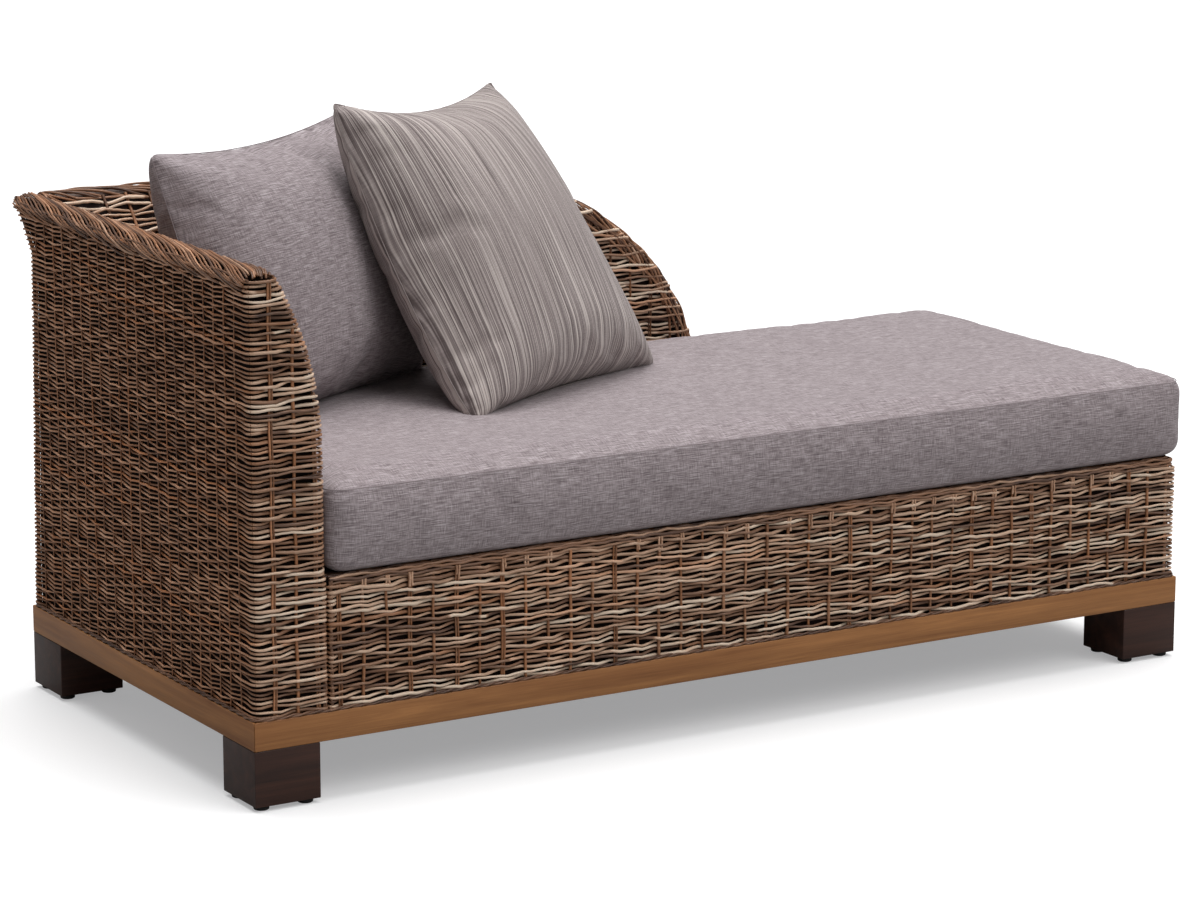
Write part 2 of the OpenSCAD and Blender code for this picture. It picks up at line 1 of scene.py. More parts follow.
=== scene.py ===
import json
import math
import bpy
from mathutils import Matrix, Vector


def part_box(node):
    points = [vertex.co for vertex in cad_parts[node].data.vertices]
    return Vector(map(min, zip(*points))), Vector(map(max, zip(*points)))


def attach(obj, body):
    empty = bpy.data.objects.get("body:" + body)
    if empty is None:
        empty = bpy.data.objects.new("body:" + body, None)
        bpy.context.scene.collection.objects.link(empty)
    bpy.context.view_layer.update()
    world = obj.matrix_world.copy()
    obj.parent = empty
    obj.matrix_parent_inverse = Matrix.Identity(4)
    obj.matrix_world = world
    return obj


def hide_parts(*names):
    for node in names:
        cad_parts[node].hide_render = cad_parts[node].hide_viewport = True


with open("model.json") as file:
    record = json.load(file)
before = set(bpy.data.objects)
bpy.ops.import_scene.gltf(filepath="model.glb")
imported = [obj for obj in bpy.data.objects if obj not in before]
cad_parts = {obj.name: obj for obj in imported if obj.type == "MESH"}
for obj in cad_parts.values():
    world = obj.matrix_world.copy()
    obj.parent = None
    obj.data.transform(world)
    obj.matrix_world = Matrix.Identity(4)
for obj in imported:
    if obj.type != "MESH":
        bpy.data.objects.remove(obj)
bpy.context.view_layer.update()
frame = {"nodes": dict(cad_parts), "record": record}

from types import SimpleNamespace

import bmesh
import bpy
import numpy as np
from bpy.props import FloatProperty, FloatVectorProperty, IntProperty, PointerProperty
from mathutils import Vector

bl_info = {
    "name": "Woven lounger",
    "version": (1, 0, 0),
    "blender": (4, 5, 0),
    "location": "View3D > Sidebar > Lounger",
    "description": "Builds the weave, wood, cushion and pillows of a one-arm lounger",
    "category": "Add Mesh",
}

# Faces of the woven body, in metres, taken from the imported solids
HEAD_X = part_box("weave_arm_outside")[0][0]
FOOT_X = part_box("weave_foot")[1][0]
FRONT_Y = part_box("weave_front")[0][1]
ARM_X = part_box("weave_arm_end")[1][0]
BACK_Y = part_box("weave_back_inside")[0][1]
REAR_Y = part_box("weave_rear")[1][1]
REAR_TOP_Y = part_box("arm_rim")[1][1]
BACK_END_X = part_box("back_rim")[1][0]
PLINTH_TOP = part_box("plinth_front_rail")[1][2]
DECK_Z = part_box("border_front")[1][2]
WALL_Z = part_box("arm_rim")[1][2]
SEAT_LOW, SEAT_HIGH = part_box("seat_cover")

# The body that everything but the cushion and the pillows rides on
BODY = "lounger"

# Distances between a corner and the next stake: along a row, for the stakes themselves, at the
# arm's inner edge, and at the back's rounded end and beside seams
CLEAR = 0.022
STAKE_CLEAR = 0.020
ARM_CLEAR = 0.014
END_CLEAR = 0.012

# Radii of the woven corners other than the arm's front ones: the arm's rear, the foot end, and
# beside the seam of the front, where a row also turns inwards
REAR_CORNER = 0.00585
FOOT_CORNER = 0.0104
SEAM_CORNER = 0.005
SEAM_DEPTH = 0.012

# Where rows end: short of the back's rounded end, inside a wall that they meet, below the deck's top
END_INSET = 0.004
DIVE = 0.006
DECK_CLEAR = 0.012

# The rows that dive under the back's border: how far below the top they begin, the height over
# which they reach their full depth, and the stretch beside the rounded end that has no stakes
TUCK_FROM = 0.026
TUCK_RAMP = 0.012
TUCK_RUN = 0.038

# Radius by which the topmost rows draw in
ROUND_OFF = 0.016

# Half length of a stretch where two rows cross, and mean length of a weaver between its joins
CROSSING = 0.045
JOINT = 0.22

# Shares of the weavers that are silvery and warm, and how much paler those beside the seat are
PALE = 0.02
WARM = 0.12
PALER = 0.17

# Stakes: length of a straight piece, share of double ones, half their distance, and how far they
# stray from upright
STAKE_STEP = 0.016
TWINS = 0.2
TWIN_GAP = 0.0021
SWAY = 0.0009

# Seat cushion: how far the solid's top rises above its edges, how far the sides draw in between
# the corners, how far the cover starts inside the solid at the arm and the front, how far the
# stuffed cover may pass the solid, and the least gap that it keeps from the arm
RISE = 0.006
DRAW = 0.004
INLET = 0.001
BULGE = 0.006
ARM_GAP = 0.0003

# Marks on a row's path, and the straight pieces that round one of its corners
STAKE, CORNER, ARC = 1, 2, 4

# Distances of the stakes on the arm's front end from the arm's outer face
ARM_END_STAKES = (0.038, 0.076, 0.111)

# Waves by which a row of weavers strays from level: the length and the share of each
WAVES = ((0.37, 0.9), (0.19, 0.6), (0.115, 0.75), (0.052, 0.35))

# Level rods round the deck's top edge: how far each lies behind the outer face and below the top
DECK_RODS = ((0.0028, 0.0112), (0.0020, 0.0058), (0.0066, 0.0026),
             (0.0124, 0.0022), (0.0186, 0.0022), (0.0242, 0.0026))

# Rods that follow the back's top edge: their place from its front, 0, to its rear, 1, and how far
# they lie beyond the edge
EDGE_RODS = ((0.040, -0.0125), (0.034, -0.0195), (0.030, -0.0275), (1.04, -0.009), (1.05, -0.017))

# Rods that fill the back's top under the slanting ones, from its front, 0, to its rear, 1
FILLING_RODS = (0.15, 0.38, 0.61, 0.84)

# Dents of the plain pillow: place across and up the panel, from -1 to 1, half widths and depth
PLAIN_DENTS = ((-0.55, 0.62, 0.3, 0.16, 0.012), (0.55, 0.3, 0.16, 0.6, 0.016))

# Inner timber whose grain runs across the lounger
CROSSWISE = ("seat_slats", "cross_rails", "deck_head_rail", "deck_foot_rail", "arm_top_rail",
             "arm_mid_rails")

# A glide's outline from the floor up: radius and height as shares of the whole
GLIDE_PROFILE = ((0.86, 0.0), (0.97, 0.12), (1, 0.3), (1, 0.62), (0.96, 0.78), (0.8, 0.84),
                 (0.72, 1))


# Sizes and colours that a user would change

def length(name, text, value):
    """A length in metres."""
    return FloatProperty(name=name, description=text, default=value, unit="LENGTH", precision=4)


def share(name, text, value):
    """A part of a whole."""
    return FloatProperty(name=name, description=text, default=value, subtype="FACTOR")


def number(name, text, value):
    """A value without a unit of its own, such as a strength, or an angle kept in degrees."""
    return FloatProperty(name=name, description=text, default=value)


def angle(name, text, degrees):
    """An angle, given in degrees and kept in radians."""
    return FloatProperty(name=name, description=text, default=math.radians(degrees),
                         subtype="ANGLE")


def whole(name, text, value):
    """A count or a seed."""
    return IntProperty(name=name, description=text, default=value)


def direction(name, text, value):
    """A direction from the lounger."""
    return FloatVectorProperty(name=name, description=text, size=3, default=value,
                               subtype="DIRECTION")


def linear(c):
    """A colour channel from 0 to 255 as the light that it stands for."""
    c = c / 255
    return c / 12.92 if c <= 0.04045 else ((c + 0.055) / 1.055) ** 2.4


def colour(name, text, rgb):
    """A colour given as it shows on screen, from 0 to 255."""
    return FloatVectorProperty(name=name, description=text, subtype="COLOR", size=3, min=0, max=1,
                               default=[linear(c) for c in rgb])


class WeaveSizes(bpy.types.PropertyGroup):
    """Sizes of the rods and of the pattern in which they are woven"""
    rod: length("Rod radius", "Radius of a weaver", 0.0026)
    stake: length("Stake radius", "Radius of the upright stakes", 0.0025)
    border: length("Border radius", "Radius of the rods laid over the arm and the back", 0.0027)
    pitch: length("Row pitch", "Height from one row of weavers to the next", 0.0073)
    bay: length("Bay", "Distance between stakes along the front and the back", 0.042)
    arm_bay: length("Arm bay", "Distance between stakes along the arm", 0.035)
    open_pitch: length("Open pitch", "Row pitch of the back's face towards the seat", 0.0076)
    depth: length("Weave depth", "How far a weaver passes before or behind a stake", 0.0043)
    inset: length("Inset", "Depth of the weave's middle below the outer face", 0.0042)
    tuck: length("Tuck", "How deep the rows on the back's face dive under its border", 0.002)
    # The lining is a dark sheet of painted shade under the weave
    lining: length("Lining depth", "Depth of the dark lining below the outer face", 0.0102)
    wave: length("Row wave", "How far a row strays from level", 0.0011)
    wander: length("Wander", "How far a rod strays over a few centimetres", 0.0005)
    step: length("Step", "Length of one straight piece of a rod", 0.0072)
    slant: length("Slant", "Half the height that a weaver gains from stake to stake on the arm",
                  0.0012)
    front_slant: length("Front slant", "The same along the front", 0.0010)
    slender: share("Slender", "Thickness of the arm's and the back's weavers against those of the "
                   "front", 0.72)
    corner: length("Corner radius", "Radius of the woven corners seen from above", 0.013)
    pair: length("Pairing", "How far neighbouring rows draw together and apart", 0.0006)
    open_pair: length("Open pairing", "Pairing of the rows on the back's face towards the seat",
                      0.0013)
    skip: share("Skips", "Share of the stakes along the front at which a weaver keeps its side",
                0.24)
    calm: share("Calm", "Share of the row wave that the arm and the back keep", 0.28)
    arm_spacing: length("Arm border spacing", "Distance of the rods laid over the arm", 0.0175)
    back_spacing: length("Back border spacing", "Distance of the rods laid over the back", 0.0250)
    sides: whole("Sides", "Sides of a rod", 5)
    seed: whole("Seed", "Seed of everything random in the weave", 7)


class BodySizes(bpy.types.PropertyGroup):
    """Where the faces of the woven body bend"""
    crease_z: length("Crease height", "Height at which the back begins to flare", 0.755)
    crease_y: length("Crease place", "Rear face of the back at the crease", 0.3735)
    bend_z: length("Bend height", "Height at which the arm's inner face begins to lean", 0.550)
    arm_lean: length("Arm lean", "How far the arm's inner face leans at its top", 0.083)
    bend: number("Bend", "How late the arm's inner face bends", 2.2)
    post: length("Post", "How far the rear corner of the arm stands out", 0.0018)
    level_x: length("Level end", "End of the level part of the back's top", -0.215)
    round_z: length("Round end", "Height at which the back's end turns upright", 0.400)
    seam: length("Seam", "Half width of the gap between the arm and the front panel", 0.003)


class CushionSizes(bpy.types.PropertyGroup):
    """Form and stuffing of the seat cushion, and the stuffing of the pillows"""
    edge: length("Edge radius", "Radius of the seat cushion's long edges", 0.031)
    cell: length("Cell", "Size of one cell of the seat cushion's mesh", 0.0125)
    crown: length("Crown", "Rise of the seat cushion's top", 0.005)
    piping: length("Seam radius", "Radius of the seams", 0.0009)
    cells: whole("Pillow cells", "Cells along each side of a pillow", 64)
    frames: whole("Frames", "Steps of the cloth simulation", 20)
    pressure: number("Pressure", "Pressure of the filling", 4.0)
    spare: share("Spare cloth", "Share by which a pillow's cover is larger than its form", 0.02)
    seat_spare: share("Spare seat cloth", "The same for the seat cushion's cover", 0.012)
    cap: length("Cap", "Farthest that a point of a cover may move", 0.024)


PILLOW_VALUES = {
    "width": (length, "Width", "Width of the panels"),
    "height": (length, "Height", "Height of the panels"),
    "thick": (length, "Thickness", "Thickness in the middle before stuffing"),
    "x": (length, "X", "Place of the lower edge's middle along the lounger"),
    "y": (length, "Y", "Place of the lower edge's middle across the lounger"),
    "turn": (number, "Turn", "Turn about the upright, in degrees"),
    "lean": (number, "Lean", "How far the pillow leans back, in degrees"),
    "twist": (number, "Twist", "How much more one side leans than the middle, in degrees"),
    "side_pull": (share, "Side pull", "How far the sides and the lower edge draw in"),
    "top_pull": (share, "Top pull", "How far the upper edge draws in"),
    "fullness": (number, "Fullness", "How slowly the filling rises from the sides; less is fuller"),
    "low_fullness": (number, "Low fullness", "The same from the lower edge"),
    "high_fullness": (number, "High fullness", "The same from the upper edge"),
    "ear": (share, "Ear", "How far the corners draw back"),
    "behind": (length, "Behind", "How far the side seams lie behind the middle"),
    "taper": (share, "Taper", "How much narrower the pillow is at its top"),
    "shear": (share, "Shear", "How far the top stands sideways of the lower edge"),
}


def pillow_values(**given):
    """The values of one pillow, each with its unit, its name and its meaning."""
    return {key: kind(name, text, given[key]) for key, (kind, name, text) in PILLOW_VALUES.items()}


class PlainPillow(bpy.types.PropertyGroup):
    """Size, place and form of the plain pillow"""
    __annotations__ = pillow_values(
        width=0.600, height=0.475, thick=0.205, x=-0.482, y=0.1105, turn=31, lean=18, twist=0,
        side_pull=0.04, top_pull=0.1, fullness=0.42, low_fullness=0.3, high_fullness=0.42,
        ear=0.028, behind=0, taper=0, shear=0)


class StripedPillow(bpy.types.PropertyGroup):
    """Size, place and form of the striped pillow"""
    __annotations__ = pillow_values(
        width=0.550, height=0.590, thick=0.205, x=-0.101, y=-0.0305, turn=26, lean=33, twist=2,
        side_pull=0.055, top_pull=0.14, fullness=0.42, low_fullness=0.24, high_fullness=0.55,
        ear=0.02, behind=0.032, taper=0.05, shear=0.02)


class Finishes(bpy.types.PropertyGroup):
    """Colours of everything that shows"""
    cane_dark: colour("Cane, dark", "Darkest of the weavers", (64, 41, 31))
    cane_mid: colour("Cane, middle", "Most of the weavers", (146, 108, 82))
    cane_light: colour("Cane, light", "Palest of the brown weavers", (212, 180, 154))
    cane_silver: colour("Cane, silver", "The few silvery weavers", (218, 196, 174))
    cane_warm: colour("Cane, warm", "Stakes", (158, 104, 66))
    # The lining's colour is painted shade: a near-black sheet for the shade inside the woven body
    lining: colour("Lining", "What shows between the rods", (27, 17, 15))
    teak_dark: colour("Teak, dark", "Dark grain of the plinth", (118, 72, 38))
    teak_mid: colour("Teak, middle", "Ground of the plinth", (152, 103, 60))
    teak_light: colour("Teak, light", "Light grain of the plinth", (184, 128, 76))
    leg_dark: colour("Leg, dark", "Dark grain of the legs", (36, 21, 17))
    leg_mid: colour("Leg, middle", "Ground of the legs", (58, 35, 27))
    leg_light: colour("Leg, light", "Light grain of the legs", (82, 50, 38))
    timber: colour("Timber", "Inner frame", (84, 60, 43))
    cloth_dark: colour("Cloth, dark", "Dark threads of the plain cloth", (104, 93, 96))
    cloth_mid: colour("Cloth, middle", "Ground of the plain cloth", (142, 131, 133))
    cloth_light: colour("Cloth, light", "Slubs of the plain cloth", (182, 172, 175))
    stripe_dark: colour("Stripe, dark", "Dark stripes", (98, 87, 86))
    stripe_mid: colour("Stripe, middle", "Ground of the striped cloth", (145, 134, 132))
    stripe_light: colour("Stripe, light", "Light stripes", (198, 188, 183))
    glide: colour("Glide", "Glides under the legs", (18, 17, 17))
    floor: colour("Floor", "Floor as the camera sees it", (218, 218, 218))
    shade: colour("Shade", "Floor where no light falls", (156, 156, 157))
    bounce: colour("Floor bounce", "Floor as it lights the lounger", (160, 160, 160))


class StageSettings(bpy.types.PropertyGroup):
    """Camera, lamps and surroundings"""
    place: FloatVectorProperty(name="Camera", description="Place of the camera", size=3,
                               default=(-3.5875, -5.9365, 1.9132), subtype="TRANSLATION")
    turn: angle("Turn", "Turn of the camera about the upright", -31.03)
    dip: angle("Dip", "How far the camera looks down", 12.43)
    lens: number("Lens", "Focal length in millimetres", 123.61)
    key: number("Key light", "Strength of the key light", 1.15)
    key_from: direction("Key light from", "Where the key light comes from", (0.28, -0.62, 0.72))
    key_soft: angle("Key light size", "Width of the key light in the sky", 40)
    top: number("Top light", "Strength of the light overhead", 3.0)
    top_from: direction("Top light from", "Where the top light comes from", (0.1, 0.15, 0.98))
    top_soft: angle("Top light size", "Width of the top light in the sky", 55)
    world: number("World", "Strength of the light all round", 0.25)
    floor: length("Floor", "Half the width of the floor", 30)


def settings(group):
    """The values of one group, such as weave or stage."""
    return getattr(bpy.context.scene, "lounger_" + group)


# Node graphs

def sum_of(operation, reflected=False):
    """A method that adds a Math node; a reflected one takes its two values the other way round."""
    def method(self, other):
        pair = (other, self) if reflected else (self, other)
        return self.math(operation, *pair)
    return method


class Value:
    """A socket that takes part in sums; each operator adds a Math node."""

    def __init__(self, graph, socket):
        self.graph = graph
        self.socket = socket

    def math(self, operation, *values):
        return self.graph.node("ShaderNodeMath", {"operation": operation}, dict(enumerate(values)))

    __add__ = sum_of("ADD")
    __radd__ = sum_of("ADD", reflected=True)
    __sub__ = sum_of("SUBTRACT")
    __rsub__ = sum_of("SUBTRACT", reflected=True)
    __mul__ = sum_of("MULTIPLY")
    __rmul__ = sum_of("MULTIPLY", reflected=True)
    __truediv__ = sum_of("DIVIDE")
    __rtruediv__ = sum_of("DIVIDE", reflected=True)
    __pow__ = sum_of("POWER")
    __rpow__ = sum_of("POWER", reflected=True)


class Graph:
    """A node tree that is written as expressions."""

    def __init__(self, tree):
        self.tree = tree

    def node(self, kind, settings=None, sockets=None, out=0):
        """Adds a node: its settings first, then its sockets' values or links."""
        made = self.tree.nodes.new(kind)
        for key, value in (settings or {}).items():
            if key == "stops":
                ramp = made.color_ramp
                while len(ramp.elements) < len(value):
                    ramp.elements.new(1.0)
                for stop, (place, rgb) in zip(ramp.elements, value):
                    stop.position, stop.color = place, (*rgb, 1.0)
            else:
                setattr(made, key, value)
        for key, value in (sockets or {}).items():
            socket = self.find(made.inputs, key)
            if isinstance(value, Value):
                self.tree.links.new(value.socket, socket)
            else:
                socket.default_value = value
        return Value(self, self.find(made.outputs, out)) if len(made.outputs) else None

    def find(self, sockets, key):
        """The socket of that place, identifier or name."""
        if isinstance(key, int):
            return sockets[key]
        same = [s for s in sockets if s.identifier == key] or \
               [s for s in sockets if s.name == key and s.enabled]
        if not same:
            raise KeyError(f"no socket {key} among {[s.identifier for s in sockets]}")
        return same[0]

    def attribute(self, name):
        return self.node("ShaderNodeAttribute", {"attribute_name": name}, out="Fac")

    def noise(self, vector, scale, detail=2.0, rough=0.5, distortion=0.0):
        return self.node("ShaderNodeTexNoise", None, {
            "Vector": vector, "Scale": scale, "Detail": detail, "Roughness": rough,
            "Distortion": distortion})

    def stretched(self, vector, scale, turn=(0, 0, 0)):
        return self.node("ShaderNodeMapping", None, {
            "Vector": vector, "Scale": scale, "Rotation": turn})

    def ramp(self, value, *stops):
        return self.node("ShaderNodeValToRGB", {"stops": stops}, {"Fac": value})

    def blend(self, factor, a, b):
        return self.node("ShaderNodeMix", {"data_type": "RGBA"}, {
            "Factor_Float": factor, "A_Color": a if isinstance(a, Value) else (*a, 1.0),
            "B_Color": b if isinstance(b, Value) else (*b, 1.0)}, out="Result_Color")


def label(key):
    """The name on the shader of an input that is given as a Python name."""
    return key.replace("_", " ").title().replace("Ior", "IOR")


class Finish(Graph):
    """A material on the principled shader."""

    def __init__(self, name, **constants):
        self.material = bpy.data.materials.new(name)
        self.material.use_nodes = True
        super().__init__(self.material.node_tree)
        self.shader = self.tree.nodes["Principled BSDF"]
        for key, value in constants.items():
            self.shader.inputs[label(key)].default_value = value

    def place(self, kind="Object"):
        return self.node("ShaderNodeTexCoord", out=kind)

    def feed(self, **links):
        """Links values to the shader's inputs and returns the material."""
        for key, value in links.items():
            self.tree.links.new(value.socket, self.shader.inputs[label(key)])
        return self.material

    def bump(self, height, strength, distance):
        return self.node("ShaderNodeBump", None, {
            "Height": height, "Strength": strength, "Distance": distance})


MADE = {}


def finish(name, make):
    """The material of that name, made the first time it is asked for."""
    if name not in MADE:
        MADE[name] = make(name)
    return MADE[name]


def cane(name):
    """Rattan: the rod's tone and warmth, its own but for painted light that makes rows facing the
    front paler and less warm, streaked along the rod and blotched.
    """
    look = Finish(name, specular_ior_level=0.5)
    f = settings("finish")
    place = look.place()
    streak = look.noise(look.stretched(place, (38, 38, 240)), 1.0, 3.0, 0.6)
    blot = look.noise(place, 18.0, 2.0)
    tone = look.attribute("tone") + (streak - 0.5) * 0.55 + (blot - 0.5) * 0.2
    brown = look.ramp(tone, (0.05, f.cane_dark), (0.5, f.cane_mid), (0.92, f.cane_light),
                      (1.0, f.cane_silver))
    warm = look.ramp(tone, (0.05, [c * 0.3 for c in f.cane_warm]), (0.55, f.cane_warm),
                     (1.0, [c * 1.7 for c in f.cane_warm]))
    return look.feed(
        base_color=look.blend(look.attribute("warm"), brown, warm),
        roughness=0.48 - (streak - 0.5) * 0.3,
        normal=look.bump(streak, 0.35, 0.0009))


def lining(name):
    """Painted shade: a near-black sheet behind the rods, standing for the shade inside the woven
    body that is seen between them.
    """
    look = Finish(name, specular_ior_level=0.1)
    f = settings("finish")
    patch = look.noise(look.place(), 60.0, 3.0)
    return look.feed(
        base_color=look.blend(patch, [c * 0.5 for c in f.lining], [c * 1.3 for c in f.lining]),
        roughness=0.85 + patch * 0.1,
        normal=look.bump(patch, 0.4, 0.002))


def wood(dark, mid, light, along, gloss):
    """A maker of planed wood whose grain runs along X, Y or Z."""
    def make(name):
        look = Finish(name, specular_ior_level=0.35)
        grain = [42.0, 42.0, 42.0]
        grain[along] = 2.2
        pores = [620.0, 620.0, 620.0]
        pores[along] = 14.0
        place = look.place()
        figure = look.noise(look.stretched(place, grain), 1.0, 5.0, 0.6, 0.7)
        fine = look.noise(look.stretched(place, pores), 1.0, 3.0, 0.6)
        wide = look.noise(place, 3.0, 2.0)
        tone = figure * 0.62 + fine * 0.26 + wide * 0.2
        return look.feed(
            base_color=look.ramp(tone, (0.34, dark), (0.54, mid), (0.74, light)),
            roughness=gloss + (fine - 0.5) * 0.24,
            normal=look.bump(figure * 0.4 + fine * 0.6, 0.25, 0.0006))
    return make


def heather(name):
    """Plain cloth of mixed threads: weft and warp, with a few thicker slubs in each."""
    look = Finish(name, sheen_weight=0.12, sheen_roughness=0.6, specular_ior_level=0.15)
    f = settings("finish")
    place = look.place("UV")
    weft = look.noise(look.stretched(place, (45, 950, 1)), 1.0, 2.0, 0.6, 0.1)
    warp = look.noise(look.stretched(place, (950, 60, 1)), 1.0, 2.0, 0.6, 0.1)
    slub = look.noise(look.stretched(place, (24, 560, 1)), 1.0, 1.0, 0.5, 0.1)
    stray = look.noise(look.stretched(place, (560, 28, 1)), 1.0, 1.0, 0.5, 0.1)
    cloud = look.noise(place, 9.0, 2.0)
    thread = weft * 0.54 + warp * 0.34 + slub * 0.3 + stray * 0.1 + (cloud - 0.5) * 0.04
    return look.feed(
        base_color=look.ramp(thread, (0.51, f.cloth_dark), (0.635, f.cloth_mid),
                             (0.77, f.cloth_light)),
        roughness=0.9 + (warp - 0.5) * 0.1,
        normal=look.bump(thread, 0.5, 0.0011))


def striped(name):
    """Cloth with fine irregular stripes that run up the pillow, a few of them pale."""
    look = Finish(name, sheen_weight=0.12, sheen_roughness=0.6, specular_ior_level=0.15)
    f = settings("finish")
    place = look.place("UV")
    drift = look.noise(look.stretched(place, (5, 3, 1)), 1.0, 1.0)
    apart = look.node("ShaderNodeSeparateXYZ", None, {"Vector": place}, out="X")
    down = look.node("ShaderNodeSeparateXYZ", None, {"Vector": place}, out="Y")
    across = apart + (drift - 0.5) * 0.02
    lane = look.node("ShaderNodeCombineXYZ", None, {"X": across, "Y": down * 0.004})
    wide = look.noise(lane, 620.0, 1.0, 0.5)
    thin = look.noise(lane, 1300.0, 1.0, 0.5)
    lines = look.noise(lane, 400.0, 0.0, 0.5)
    weft = look.noise(look.stretched(place, (60, 900, 1)), 1.0, 2.0)
    tone = 0.5 + (wide - 0.5) * 1.3 + (thin - 0.5) * 1.2 + (weft - 0.5) * 0.25
    ground = look.ramp(tone, (0.26, f.stripe_dark), (0.52, f.stripe_mid), (0.85, f.stripe_light))
    pale = look.ramp(lines, (0.62, (0, 0, 0)), (0.68, (1.0, 1.0, 1.0)))
    return look.feed(
        base_color=look.blend(pale, ground, f.stripe_light),
        roughness=0.88 + (thin - 0.5) * 0.1,
        normal=look.bump(tone + weft * 0.3, 0.45, 0.0011))


def plain(rgb, rough, scale=400.0, metallic=0.0):
    """A maker of a fine-grained matt finish, for glides, bolts and foam."""
    def make(name):
        look = Finish(name, metallic=metallic)
        grit = look.noise(look.place(), scale, 3.0)
        return look.feed(
            base_color=look.blend(grit, [c * 0.8 for c in rgb], [min(1, c * 1.2) for c in rgb]),
            roughness=rough + (grit - 0.5) * 0.2,
            normal=look.bump(grit, 0.2, 0.0005))
    return make


# Shape of the woven body, in metres

def arm_face(z):
    """Place of the arm's inner face at height z, and its slope."""
    b = settings("body")
    rise = WALL_Z - b.bend_z
    part = min(1.0, max(0.0, (z - b.bend_z) / rise))
    return ARM_X - b.arm_lean * part ** b.bend, -b.arm_lean * b.bend / rise * part ** (b.bend - 1)


def rear_face(z):
    """Place of the back's rear face at height z, and its slope."""
    b = settings("body")
    if z <= b.crease_z:
        slope = (b.crease_y - REAR_Y) / (b.crease_z - PLINTH_TOP)
        return REAR_Y + slope * (z - PLINTH_TOP), slope
    slope = (REAR_TOP_Y - b.crease_y) / (WALL_Z - b.crease_z)
    return b.crease_y + slope * (z - b.crease_z), slope


def seat_face(z):
    """Place of the back's face towards the seat at height z, and its slope."""
    b = settings("body")
    if z <= b.crease_z:
        return BACK_Y, 0.0
    slope = (REAR_TOP_Y - b.crease_y) / (WALL_Z - b.crease_z)
    return BACK_Y + slope * (z - b.crease_z), slope


def back_end(z):
    """Where the back ends at height z, and how fast that place moves with height."""
    b = settings("body")
    if z <= b.round_z:
        return BACK_END_X, 0.0
    s = min(0.9995, (z - b.round_z) / (WALL_Z - b.round_z))
    reach, rise = BACK_END_X - b.level_x, WALL_Z - b.round_z
    c = math.sqrt(1 - s * s)
    return b.level_x + reach * c, -reach * s / (c * rise)


def back_height(x):
    """Height of the back's top edge at x."""
    b = settings("body")
    s = min(1.0, max(0.0, (x - b.level_x) / (BACK_END_X - b.level_x)))
    return b.round_z + (WALL_Z - b.round_z) * math.sqrt(1 - s * s)


# Objects

def linked(name, data):
    """A new object in the scene."""
    made = bpy.data.objects.new(name, data)
    bpy.context.scene.collection.objects.link(made)
    return made


def meshed(name, points, faces, material):
    """A new object from points and faces, with one material."""
    mesh = bpy.data.meshes.new(name)
    mesh.from_pydata([tuple(p) for p in points], [], faces)
    mesh.materials.append(material)
    return linked(name, mesh)


def stand(piece, body, slot, *nodes):
    """Declares what a piece rides on and hides the solids that it stands for; its finish, given as
    the slot, is not used.
    """
    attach(piece, body)
    if nodes:
        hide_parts(*nodes)


# Rods

class Rods:
    """Gathers the middle lines of rods, with what the rod tree reads at each point."""

    def __init__(self, seed):
        self.random = np.random.default_rng(seed)
        self.points, self.out = [], []
        self.lift, self.girth, self.tone, self.warm = [], [], [], []

    def add(self, points, out=None, lift=0.0, girth=1.0, tone=0.5, warm=0.0):
        """Takes in one line; each value is one number or one for each point."""
        points = np.asarray(points, float)
        n = len(points)
        if n < 2:
            return
        self.points.append(points)
        self.out.append(np.zeros((n, 3)) if out is None else np.asarray(out, float))
        for kept, value in ((self.lift, lift), (self.girth, girth), (self.tone, tone),
                            (self.warm, warm)):
            kept.append(np.broadcast_to(np.asarray(value, float), (n,)))

    def guide(self, name):
        """One mesh of edges that holds every middle line."""
        mesh = bpy.data.meshes.new(name)
        points = np.concatenate(self.points)
        counts = [len(p) for p in self.points]
        starts = np.cumsum([0] + counts[:-1])
        edges = np.concatenate([np.stack([np.arange(s, s + c - 1), np.arange(s + 1, s + c)], 1)
                                for s, c in zip(starts, counts)])
        mesh.vertices.add(len(points))
        mesh.vertices.foreach_set("co", points.ravel())
        mesh.edges.add(len(edges))
        mesh.edges.foreach_set("vertices", edges.ravel().astype(np.int32))
        mesh.attributes.new("out", "FLOAT_VECTOR", "POINT").data.foreach_set(
            "vector", np.concatenate(self.out).ravel())
        for key in ("lift", "girth", "tone", "warm"):
            mesh.attributes.new(key, "FLOAT", "POINT").data.foreach_set(
                "value", np.concatenate(getattr(self, key)))
        return linked(name, mesh)


